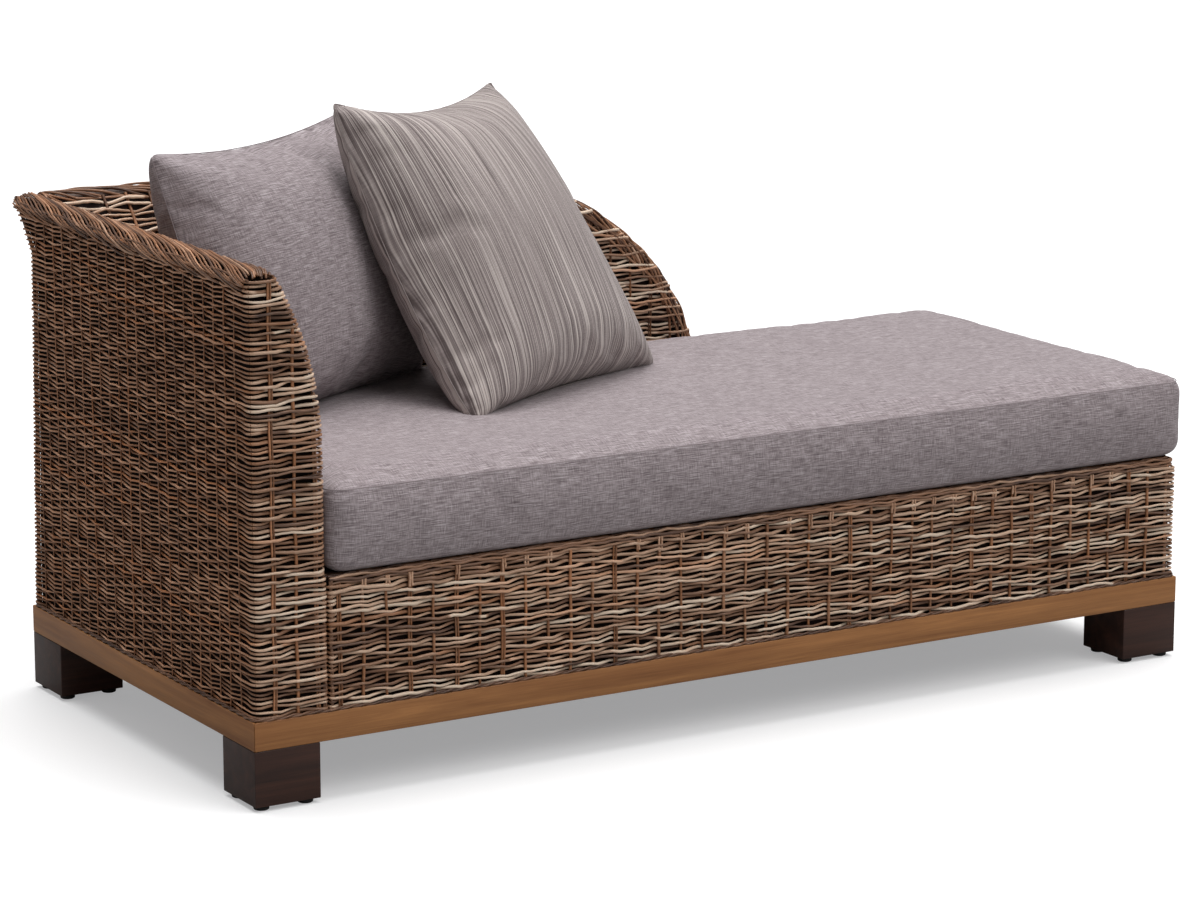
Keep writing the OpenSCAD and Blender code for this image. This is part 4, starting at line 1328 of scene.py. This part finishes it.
def arm_shade_lining(depth):
    """Rings inside the arm, which close along its top."""
    bend = settings("body").bend_z
    rings = []
    for z in np.concatenate([np.linspace(DECK_Z - 0.002, bend, 6),
                             np.linspace(bend, WALL_Z - 0.012, 14)[1:],
                             [WALL_Z - 0.007, WALL_Z - 0.005]]):
        d = depth + drawn_in(z)
        inner = arm_face(z)[0] - d
        rings.append(ring_at(z, (inner, BACK_Y + 0.02), (inner, FRONT_Y + d),
                             (HEAD_X + d, FRONT_Y + d), (HEAD_X + d, rear_face(z)[0] - depth)))
    top = rings[-1]
    rings.append([((p[0] + q[0]) / 2, (p[1] + q[1]) / 2, WALL_Z - 0.004)
                  for p, q in zip(top, reversed(top))])
    return rings


def base_shade_lining(depth):
    """Rings inside the base, and a shelf from the upper one to the deck's rails."""
    rings = []
    for z in (PLINTH_TOP + 0.001, DECK_Z - 0.002):
        rear, front = rear_face(z)[0] - depth, FRONT_Y + depth
        rings.append(ring_at(z, (ARM_X, front), (HEAD_X + depth, front), (HEAD_X + depth, rear),
                             (FOOT_X - depth, rear), (FOOT_X - depth, front), (ARM_X, front)))
    low, high = rings
    edge = [(x, y, DECK_Z - 0.006) for x, y, _ in high]
    shelf = [(min(max(x, ARM_X), FOOT_X - 0.028), min(max(y, FRONT_Y + 0.028), REAR_Y - 0.05),
              DECK_Z - 0.005) for x, y, _ in high]
    return [low, edge, shelf]


def back_shade_lining(depth):
    """Walls behind the back's two faces, and the strip that joins them along its top."""
    crease, low = settings("body").crease_z, DECK_Z - 0.01
    rear_wall, seat_wall = [], []
    for x in np.linspace(HEAD_X + depth, BACK_END_X - 0.01, 61):
        top = back_height(x) - 0.007
        heights = np.linspace(low, top, 18)
        if top > crease:
            heights = np.concatenate([np.linspace(low, crease, 12),
                                      np.linspace(crease, top, 7)[1:]])
        rear_wall.append([(x, rear_face(z)[0] - depth, z) for z in heights])
        seat_wall.append([(max(x, arm_face(z)[0] - 0.02), seat_face(z)[0] + depth, z)
                          for z in heights])
    return rear_wall, seat_wall, [(a[-1], c[-1]) for a, c in zip(rear_wall, seat_wall)]


# Wood and fittings

def box_piece(name, corners, height, low, material, bevel):
    """An upright prism over plan corners, with its edges eased."""
    made = bmesh.new()
    bottom = [made.verts.new((x, y, low)) for x, y in corners]
    top = [made.verts.new((x, y, low + height)) for x, y in corners]
    made.faces.new(list(reversed(bottom)))
    made.faces.new(top)
    n = len(corners)
    for k in range(n):
        made.faces.new((bottom[k], bottom[(k + 1) % n], top[(k + 1) % n], top[k]))
    bmesh.ops.recalc_face_normals(made, faces=made.faces)
    bmesh.ops.bevel(made, geom=made.edges[:], offset=bevel, segments=3, profile=0.5,
                    affect="EDGES")
    mesh = bpy.data.meshes.new(name)
    made.to_mesh(mesh)
    made.free()
    mesh.materials.append(material)
    for face in mesh.polygons:
        face.use_smooth = True
    mesh.set_sharp_from_angle(angle=math.radians(40))
    return linked(name, mesh)


def turned_piece(name, profile, centres, material, sides=28):
    """Round pieces turned from a profile of (radius, height), one at each centre."""
    verts, faces = [], []
    for cx, cy in centres:
        base = len(verts)
        for r, z in profile:
            verts += [(cx + r * math.cos(2 * math.pi * k / sides),
                       cy + r * math.sin(2 * math.pi * k / sides), z) for k in range(sides)]
        for i in range(len(profile) - 1):
            for k in range(sides):
                a, b = base + i * sides + k, base + i * sides + (k + 1) % sides
                faces.append((a, b, b + sides, a + sides))
        faces.append([base + k for k in reversed(range(sides))])
        faces.append([base + (len(profile) - 1) * sides + k for k in range(sides)])
    piece = meshed(name, verts, faces, material)
    for face in piece.data.polygons:
        face.use_smooth = len(face.vertices) == 4
    return piece


def refinish(name, material):
    """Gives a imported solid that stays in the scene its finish."""
    kept = frame["nodes"][name].data.materials
    kept.clear()
    kept.append(material)


# Soft pieces

def coordinates(mesh):
    """Places of a mesh's points."""
    co = np.zeros(len(mesh.vertices) * 3)
    mesh.vertices.foreach_get("co", co)
    return co.reshape(-1, 3)


def move_to(mesh, co):
    """Moves a mesh's points to new places."""
    mesh.vertices.foreach_set("co", co.ravel())
    mesh.update()


def cover(name, points, quads, uv, material):
    """A closed soft form from points, four-sided cells and a place on the cloth for each corner."""
    piece = meshed(name, points, quads, material)
    places = piece.data.uv_layers.new(name="cloth")
    places.data.foreach_set("uv", np.asarray(uv, float).ravel())
    for face in piece.data.polygons:
        face.use_smooth = True
    return piece


def stuffed(piece, hold, cushion, spare):
    """Fills the cover by cloth simulation and keeps each point near where it started."""
    start = coordinates(piece.data)
    group = piece.vertex_groups.new(name="held")
    hold = np.round(hold, 2)
    for weight in np.unique(hold[hold > 0]):
        group.add(np.flatnonzero(hold == weight).tolist(), float(weight), "REPLACE")
    cloth = piece.modifiers.new("stuffing", "CLOTH")
    cloth.settings.quality = 6
    cloth.settings.mass = 0.3
    cloth.settings.tension_stiffness = 12
    cloth.settings.compression_stiffness = 12
    cloth.settings.shear_stiffness = 4
    cloth.settings.bending_stiffness = 0.35
    cloth.settings.vertex_group_mass = "held"
    cloth.settings.pin_stiffness = 1.0
    cloth.settings.use_pressure = True
    cloth.settings.uniform_pressure_force = cushion.pressure
    cloth.settings.shrink_min = -spare
    cloth.settings.effector_weights.gravity = 0
    cloth.collision_settings.use_collision = False
    cloth.point_cache.frame_start = 1
    cloth.point_cache.frame_end = cushion.frames
    scene = bpy.context.scene
    for step in range(1, cushion.frames + 1):
        scene.frame_set(step)
    ready = piece.evaluated_get(bpy.context.evaluated_depsgraph_get())
    move = coordinates(ready.data) - start
    far = np.linalg.norm(move, axis=1, keepdims=True)
    move *= np.minimum(1.0, cushion.cap / np.maximum(far, 1e-9))
    piece.modifiers.remove(cloth)
    piece.vertex_groups.remove(group)
    move_to(piece.data, start + move)
    scene.frame_set(1)


def finer(piece):
    """Applies one subdivision, so that the piece has a plain mesh."""
    modifier = piece.modifiers.new("finer", "SUBSURF")
    modifier.levels = modifier.render_levels = 1
    ready = piece.evaluated_get(bpy.context.evaluated_depsgraph_get())
    mesh = bpy.data.meshes.new_from_object(ready)
    piece.modifiers.remove(modifier)
    old = piece.data
    piece.data = mesh
    bpy.data.meshes.remove(old)


def seam_line(points, name, material, body, slot):
    """A raised seam along a line of points."""
    rods = Rods(settings("weave").seed + 70)
    rods.add(points)
    piece = grow(rods, name, material, settings("cushion").piping, wander=0.0002, change=0.2,
                 sides=6, smooth=0.01)
    stand(piece, body, slot)


def seat_top(x, y):
    """Height of the seat cushion's top at a place, for what lies on it."""
    rim = 0.02
    middle = (np.array(SEAT_LOW) + np.array(SEAT_HIGH)) / 2
    half = (np.array(SEAT_HIGH) - np.array(SEAT_LOW)) / 2 - rim
    u, v = (x - middle[0]) / half[0], (y - middle[1]) / half[1]
    return SEAT_HIGH[2] - RISE + RISE * max(0, 1 - u * u) * max(0, 1 - v * v)


def box_cells(counts):
    """Points and quads of a box surface on a grid of whole-number places."""
    index, points, quads, sides = {}, [], [], []

    def at(p):
        if p not in index:
            index[p] = len(points)
            points.append(p)
        return index[p]

    nx, ny, nz = counts
    for axis, (a, b) in ((2, (0, 1)), (1, (0, 2)), (0, (1, 2))):
        for end in (0, counts[axis]):
            for i in range(counts[a]):
                for j in range(counts[b]):
                    ring = []
                    for di, dj in ((0, 0), (1, 0), (1, 1), (0, 1)):
                        p = [0, 0, 0]
                        p[axis], p[a], p[b] = end, i + di, j + dj
                        ring.append(at(tuple(p)))
                    flip = (end == 0) != (axis == 1)
                    quads.append(ring[::-1] if flip else ring)
                    sides.append(axis)
    return np.array(points, float), quads, sides


def seat_form(cushion):
    """The boxed cushion: rounded edges, crowned top, sides drawn in between its corners."""
    low, high = np.array(SEAT_LOW), np.array(SEAT_HIGH)
    low[:2] += INLET
    high[2] -= RISE
    counts = [max(4, int(round(s / cushion.cell))) for s in high - low]
    grid, quads, sides = box_cells(counts)
    unit = grid / np.array(counts) * 2 - 1
    half = (high - low) / 2
    # a point that lies outside the box whose faces are a radius further in moves onto its round
    p, r = unit * half, cushion.edge
    core = np.clip(p, r - half, half - r)
    off = p - core
    far = np.linalg.norm(off, axis=1, keepdims=True)
    p = core + np.where(far > 1e-9, off / np.maximum(far, 1e-9) * r, 0)
    u, v, w = (p / half).T
    pull = DRAW * (1 - w * w)
    p[:, 0] -= np.sign(u) * pull * (np.abs(u) > 0.97) * (1 - v * v)
    p[:, 1] -= np.sign(v) * pull * (np.abs(v) > 0.94) * (1 - u * u)
    crown = cushion.crown * np.clip(1 - u ** 4, 0, 1) * np.clip(1 - v ** 4, 0, 1)
    p[:, 2] += np.where(w > 0, crown * w ** 2, 0)
    # every side lies on the cloth by itself, with its own pair of directions
    uv = []
    for quad, axis in zip(quads, sides):
        a, b = ((1, 2), (0, 2), (0, 1))[axis]
        uv += [(p[k][a] + axis * 0.37, p[k][b] + axis * 0.71) for k in quad]
    return p + (low + high) / 2, quads, uv, unit


def pillow_pose(node):
    """A pillow's values as they were given: single precision alone would fold its cloth anew."""
    group = settings(node)
    return SimpleNamespace(**{key: round(getattr(group, key), 6) for key in PILLOW_VALUES})


def panel_places(n):
    """Places across and up a pillow's panel, from -1 to 1, closer together beside the seam."""
    spread = np.sin(np.linspace(-1, 1, n + 1) * np.pi / 2)
    return np.meshgrid(spread, spread, indexing="ij")


def pillow_form(n, pose, dents):
    """A pillow's two faces as grids: full in the middle, drawn in between its ears, dented, and
    leaning about its lower edge."""
    u, v = panel_places(n)
    side = 1 - pose.side_pull * (1 - v * v) * np.abs(u) ** 3
    end = 1 - np.where(v > 0, pose.top_pull, pose.side_pull) * (1 - u * u) * np.abs(v) ** 3
    ear = 1 - pose.ear * np.abs(u * v) ** 30
    b = pose.height / 2 * (v * end * ear + 1)
    a = pose.width / 2 * u * side * ear * (1 - pose.taper * (v + 1) / 2) + pose.shear * b
    slow = np.where(v > 0, pose.high_fullness, pose.low_fullness)
    full = np.maximum(0, 1 - u * u) ** pose.fullness * np.maximum(0, 1 - v * v) ** slow
    dent = sum(deep * np.exp(-((u - cu) / ru) ** 2 - ((v - cv) / rv) ** 2)
               for cu, cv, ru, rv, deep in dents)
    turn, lean = math.radians(pose.turn), np.radians(pose.lean + pose.twist * u)
    faces = []
    for face in (1, -1):
        t = face * pose.thick / 2 * full - pose.behind * (1 - v * v) * np.abs(u) ** 5
        if face == 1:
            t = t - dent * full ** 0.5
        back = b * np.sin(lean) - t * np.cos(lean)
        x = pose.x + a * math.cos(turn) - back * math.sin(turn)
        y = pose.y + a * math.sin(turn) + back * math.cos(turn)
        z = SEAT_HIGH[2] - RISE + b * np.cos(lean) + t * np.sin(lean)
        faces.append(np.stack([x, y, z], -1))
    return faces


def pressed(mesh):
    """Keeps a pillow's points clear of the arm, the back and the seat."""
    gap, above = 0.0035, 0.001
    co = coordinates(mesh)
    for p in co:
        x, y, z = p
        if z < WALL_Z + 0.002:
            p[0] = max(x, arm_face(z)[0] + gap)
            p[1] = min(y, seat_face(max(0, z - 0.02))[0] - gap)
        p[2] = max(z, seat_top(x, y) + above)
    move_to(mesh, co)
    return co


def pillow_mesh(name, n, faces, pose, material):
    """Joins a pillow's faces at their seam and lays each panel flat on the cloth."""
    points = np.concatenate([faces[0].reshape(-1, 3), faces[1][1:-1, 1:-1].reshape(-1, 3)])

    def front(i, j):
        return i * (n + 1) + j

    def rear(i, j):
        if i in (0, n) or j in (0, n):
            return front(i, j)
        return (n + 1) ** 2 + (i - 1) * (n - 1) + j - 1

    u, v = panel_places(n)
    quads, uv = [], []
    for side, at in ((0, front), (1, rear)):
        for i in range(n):
            for j in range(n):
                ring = [(i, j), (i, j + 1), (i + 1, j + 1), (i + 1, j)]
                if side == 0:
                    ring.reverse()
                quads.append([at(*k) for k in ring])
                uv += [(u[k] * pose.width / 2 + side * 1.7, v[k] * pose.height / 2) for k in ring]
    return cover(name, points, quads, uv, material)


def pillow(node, material, slot, dents=()):
    """A pillow in place of the solid of that name, stuffed by cloth simulation, with its seam."""
    cushion, pose = settings("cushion"), pillow_pose(node)
    n = cushion.cells
    piece = pillow_mesh(node + "_cover", n, pillow_form(n, pose, dents), pose, material)
    edge = np.ones((n + 1, n + 1))
    edge[1:-1, 1:-1] = 0
    hold = np.zeros(len(piece.data.vertices))
    hold[:edge.size] = edge.ravel()
    pressed(piece.data)
    stuffed(piece, hold, cushion, cushion.spare)
    front = pressed(piece.data)[:edge.size].reshape(n + 1, n + 1, 3)
    finer(piece)
    stand(piece, node, slot, node)
    seam = np.concatenate([front[:-1, 0], front[-1, :-1], front[:0:-1, -1], front[0, ::-1]])
    seam_line(seam, node + "_cover_seam", material, node, slot)


# Operators

class LOUNGER_OT_stage(bpy.types.Operator):
    """Sets the camera, the lamps and the floor"""
    bl_idname = "lounger.stage"
    bl_label = "Stage"

    def execute(self, context):
        scene, s, f = context.scene, settings("stage"), settings("finish")
        scene.view_settings.view_transform = "Standard"
        camera = linked("camera", bpy.data.cameras.new("camera"))
        camera.location = s.place
        camera.rotation_euler = (math.pi / 2 - s.dip, 0, s.turn)
        camera.data.lens = s.lens
        camera.data.sensor_width = 36.0
        camera.data.clip_end = 2 * s.floor
        scene.camera = camera
        for name, strength, width, source in (("key", s.key, s.key_soft, s.key_from),
                                              ("top", s.top, s.top_soft, s.top_from)):
            lamp = linked(name, bpy.data.lights.new(name, "SUN"))
            lamp.data.energy = strength
            lamp.data.angle = width
            lamp.rotation_euler = Vector(source).to_track_quat("Z", "Y").to_euler()
        world = bpy.data.worlds.new("studio")
        scene.world = world
        world.use_nodes = True
        sky = Graph(world.node_tree)
        seen = sky.node("ShaderNodeLightPath", out="Is Camera Ray")
        strength = s.world + seen * (1.0 - s.world)
        light = world.node_tree.nodes["Background"].inputs
        light["Color"].default_value = (1, 1, 1, 1)
        world.node_tree.links.new(strength.socket, light["Strength"])
        look = Finish("floor", roughness=0.9, emission_strength=1.0)
        seen = look.node("ShaderNodeLightPath", out="Is Camera Ray")
        look.feed(base_color=look.blend(seen, list(f.bounce), list(f.floor)),
                  emission_color=look.blend(seen, (0, 0, 0), list(f.shade)))
        corners = [(x * s.floor, y * s.floor, 0) for x, y in ((-1, -1), (1, -1), (1, 1), (-1, 1))]
        meshed("floor", corners, [(0, 1, 2, 3)], look.material)
        return {"FINISHED"}


class LOUNGER_OT_wood(bpy.types.Operator):
    """Makes the plinth, the legs and their glides, and finishes the inner frame"""
    bl_idname = "lounger.wood"
    bl_label = "Plinth and legs"

    def execute(self, context):
        self.plinth()
        self.legs()
        self.inner_frame()
        return {"FINISHED"}

    def plinth(self):
        """Four rails with mitred ends, a hair apart."""
        f, gap = settings("finish"), 0.0004
        tones = (f.teak_dark, f.teak_mid, f.teak_light)
        teak_x = finish("teak_long", wood(*tones, 0, 0.5))
        teak_y = finish("teak_cross", wood(*tones, 1, 0.5))
        x0, y0, z0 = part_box("plinth_front_rail")[0]
        x1, y1, z1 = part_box("plinth_foot_rail")[1]
        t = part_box("plinth_front_rail")[1][1] - y0
        for side, look, corners in (
                ("front", teak_x, ((x0 + gap, y0), (x1 - gap, y0), (x1 - t - gap, y0 + t),
                                   (x0 + t + gap, y0 + t))),
                ("back", teak_x, ((x0 + t + gap, y1 - t), (x1 - t - gap, y1 - t), (x1 - gap, y1),
                                  (x0 + gap, y1))),
                ("head", teak_y, ((x0, y0 + gap), (x0 + t, y0 + t + gap),
                                  (x0 + t, y1 - t - gap), (x0, y1 - gap))),
                ("foot", teak_y, ((x1 - t, y0 + t + gap), (x1, y0 + gap), (x1, y1 - gap),
                                  (x1 - t, y1 - t - gap)))):
            piece = box_piece("plinth_" + side, corners, z1 - z0, z0, look, 0.0012)
            stand(piece, BODY, "teak", f"plinth_{side}_rail")

    def legs(self):
        """Square legs with eased edges, each on four turned glides."""
        f, gap, r = settings("finish"), 0.0004, 0.0125
        stain = finish("stained_wood", wood(f.leg_dark, f.leg_mid, f.leg_light, 0, 0.42))
        rubber = finish("glide_rubber", plain(f.glide, 0.55))
        for end in ("head_front", "foot_front", "foot_back", "head_back"):
            (x0, y0, z0), (x1, y1, z1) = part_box("leg_" + end)
            corners = ((x0 + gap, y0 + gap), (x1 - gap, y0 + gap), (x1 - gap, y1 - gap),
                       (x0 + gap, y1 - gap))
            piece = box_piece("leg_block_" + end, corners, z1 - z0 - 0.0003, z0, stain, 0.0014)
            stand(piece, BODY, "dark_wood", "leg_" + end)
            (x0, y0, _), (x1, y1, top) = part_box("glides_" + end)
            centres = [(x, y) for x in (x0 + r, x1 - r) for y in (y0 + r, y1 - r)]
            profile = [(r * out, top * up) for out, up in GLIDE_PROFILE]
            piece = turned_piece("glide_" + end, profile, centres, rubber)
            stand(piece, BODY, "glide", "glides_" + end)

    def inner_frame(self):
        """Finishes the inner timber, with its grain along each piece, and the bolts."""
        timber = settings("finish").timber
        tones = [c * 0.7 for c in timber], timber, [min(1, c * 1.2) for c in timber]
        along, across, upright = [finish("timber_" + way, wood(*tones, axis, 0.65))
                                  for axis, way in enumerate(("long", "cross", "upright"))]
        steel = finish("bolt_steel", plain((0.55, 0.55, 0.56), 0.35, 900.0, 1.0))
        for row in frame["record"]["subparts"]:
            name, slot = row["node"], row["material_slot"]
            if slot == "steel":
                refinish(name, steel)
            elif slot == "timber" and name in CROSSWISE:
                refinish(name, across)
            elif slot == "timber":
                refinish(name, upright if "post" in name or "rib" in name else along)


class LOUNGER_OT_weave(bpy.types.Operator):
    """Weaves the arm, the back and the base, and puts a dark lining of painted shade behind them"""
    bl_idname = "lounger.weave"
    bl_label = "Weave"

    def execute(self, context):
        w = settings("weave")
        look = finish("cane", cane)
        arm, arm_side, back, seat_side, base = woven_rows(w)
        for rods, name, nodes in (
                (arm, "arm_weave", ("weave_arm_outside",)),
                (arm_side, "arm_weave_seat_side", ("weave_arm_inside", "weave_arm_end")),
                (back, "back_weave", ("weave_back_outside",)),
                (seat_side, "back_weave_seat_side", ("weave_back_inside",)),
                (base, "base_weave", ("weave_front", "weave_foot", "weave_rear"))):
            stand(grow(rods, name, look, w.rod, w.depth), BODY, "wicker", *nodes)
        stand(grow(woven_stakes(w), "stakes", look, w.stake), BODY, "wicker")
        # The lining is painted shade: a dark sheet where the inside of the body has only shade
        sheets = [arm_shade_lining(w.lining), base_shade_lining(w.lining), *back_shade_lining(w.lining)]
        stand(grid_mesh("lining", sheets, finish("lining", lining)), BODY, "wicker")
        return {"FINISHED"}


class LOUNGER_OT_borders(bpy.types.Operator):
    """Lays the slanting borders over the arm and the back, and the rods round the deck"""
    bl_idname = "lounger.borders"
    bl_label = "Borders"

    def execute(self, context):
        w = settings("weave")
        look = finish("cane", cane)
        for border, name, radius, nodes in (
                (arm_border, "arm_border", w.border, ("arm_rim",)),
                (back_border, "back_border", w.border, ("back_rim",)),
                (deck_border, "deck_border", w.rod, ("border_front", "border_foot",
                                                     "border_rear"))):
            piece = grow(border(w), name, look, radius, w.depth, change=0.2)
            stand(piece, BODY, "rim_wicker", *nodes)
        return {"FINISHED"}


class LOUNGER_OT_seat(bpy.types.Operator):
    """Makes the boxed seat cushion"""
    bl_idname = "lounger.seat"
    bl_label = "Seat cushion"

    def execute(self, context):
        c = settings("cushion")
        cloth = finish("heather_cloth", heather)
        points, quads, uv, unit = seat_form(c)
        piece = cover("seat_cushion_cover", points, quads, uv, cloth)
        # the bottom stays flat on the slats, and each long edge nearly keeps its line
        edges = (np.abs(unit) > 0.9999).sum(1) >= 2
        hold = np.where(unit[:, 2] < -0.9, 1.0, np.where(edges, 0.9, 0.0))
        stuffed(piece, hold, c, c.seat_spare)
        low, high = np.array(SEAT_LOW), np.array(SEAT_HIGH)
        move_to(piece.data, np.clip(coordinates(piece.data), low + (ARM_GAP, -BULGE, 0),
                                    high + (BULGE, 0, BULGE)))
        finer(piece)
        stand(piece, "seat_cushion", "plain_fabric", "seat_cover")
        refinish("seat_foam", finish("foam", plain((0.86, 0.8, 0.6), 0.9)))
        # the seam follows the round where it leaves the sides, from the middle of the front
        r = c.edge * 0.29
        (x0, y0), (x1, y1) = low[:2] + r * 0.55, high[:2] - r * 0.55
        middle = ((x0 + x1) / 2, y0)
        corners = (middle, (x1, y0), (x1, y1), (x0, y1), (x0, y0), middle)
        walked = walk([spot(x, y, radius=c.edge) for x, y in corners], 0.009)[0]
        seam = np.column_stack([walked[:, :2], np.full(len(walked), high[2] - RISE - r)])
        seam_line(seam, "seat_cushion_seams", cloth, "seat_cushion", "plain_fabric")
        return {"FINISHED"}


class LOUNGER_OT_plain_pillow(bpy.types.Operator):
    """Makes the plain pillow that leans in the corner"""
    bl_idname = "lounger.plain_pillow"
    bl_label = "Plain pillow"

    def execute(self, context):
        pillow("plain_pillow", finish("heather_cloth", heather), "plain_fabric", PLAIN_DENTS)
        return {"FINISHED"}


class LOUNGER_OT_striped_pillow(bpy.types.Operator):
    """Makes the striped pillow that leans on the plain one"""
    bl_idname = "lounger.striped_pillow"
    bl_label = "Striped pillow"

    def execute(self, context):
        pillow("striped_pillow", finish("striped_cloth", striped), "striped_fabric")
        return {"FINISHED"}


class LOUNGER_PT_panel(bpy.types.Panel):
    """Shows the operators and every value that a user would change"""
    bl_idname = "LOUNGER_PT_panel"
    bl_label = "Woven lounger"
    bl_space_type = "VIEW_3D"
    bl_region_type = "UI"
    bl_category = "Lounger"

    def draw(self, context):
        for operator in OPERATORS:
            self.layout.operator(operator.bl_idname)
        for group, kind in GROUPS.items():
            box = self.layout.box()
            for key in kind.__annotations__:
                box.prop(settings(group), key)


OPERATORS = (LOUNGER_OT_stage, LOUNGER_OT_wood, LOUNGER_OT_weave, LOUNGER_OT_borders,
             LOUNGER_OT_seat, LOUNGER_OT_plain_pillow, LOUNGER_OT_striped_pillow)
GROUPS = {"weave": WeaveSizes, "body": BodySizes, "cushion": CushionSizes,
          "plain_pillow": PlainPillow, "striped_pillow": StripedPillow, "finish": Finishes,
          "stage": StageSettings}


def register():
    for made in (*GROUPS.values(), *OPERATORS, LOUNGER_PT_panel):
        bpy.utils.register_class(made)
    for group, kind in GROUPS.items():
        setattr(bpy.types.Scene, "lounger_" + group, PointerProperty(type=kind))


def unregister():
    for group in GROUPS:
        delattr(bpy.types.Scene, "lounger_" + group)
    for made in (LOUNGER_PT_panel, *reversed(OPERATORS), *reversed(GROUPS.values())):
        bpy.utils.unregister_class(made)


def main():
    register()
    bpy.ops.lounger.stage()
    bpy.ops.lounger.wood()
    bpy.ops.lounger.weave()
    bpy.ops.lounger.borders()
    bpy.ops.lounger.seat()
    bpy.ops.lounger.plain_pillow()
    bpy.ops.lounger.striped_pillow()


if __name__ == "__main__":
    main()
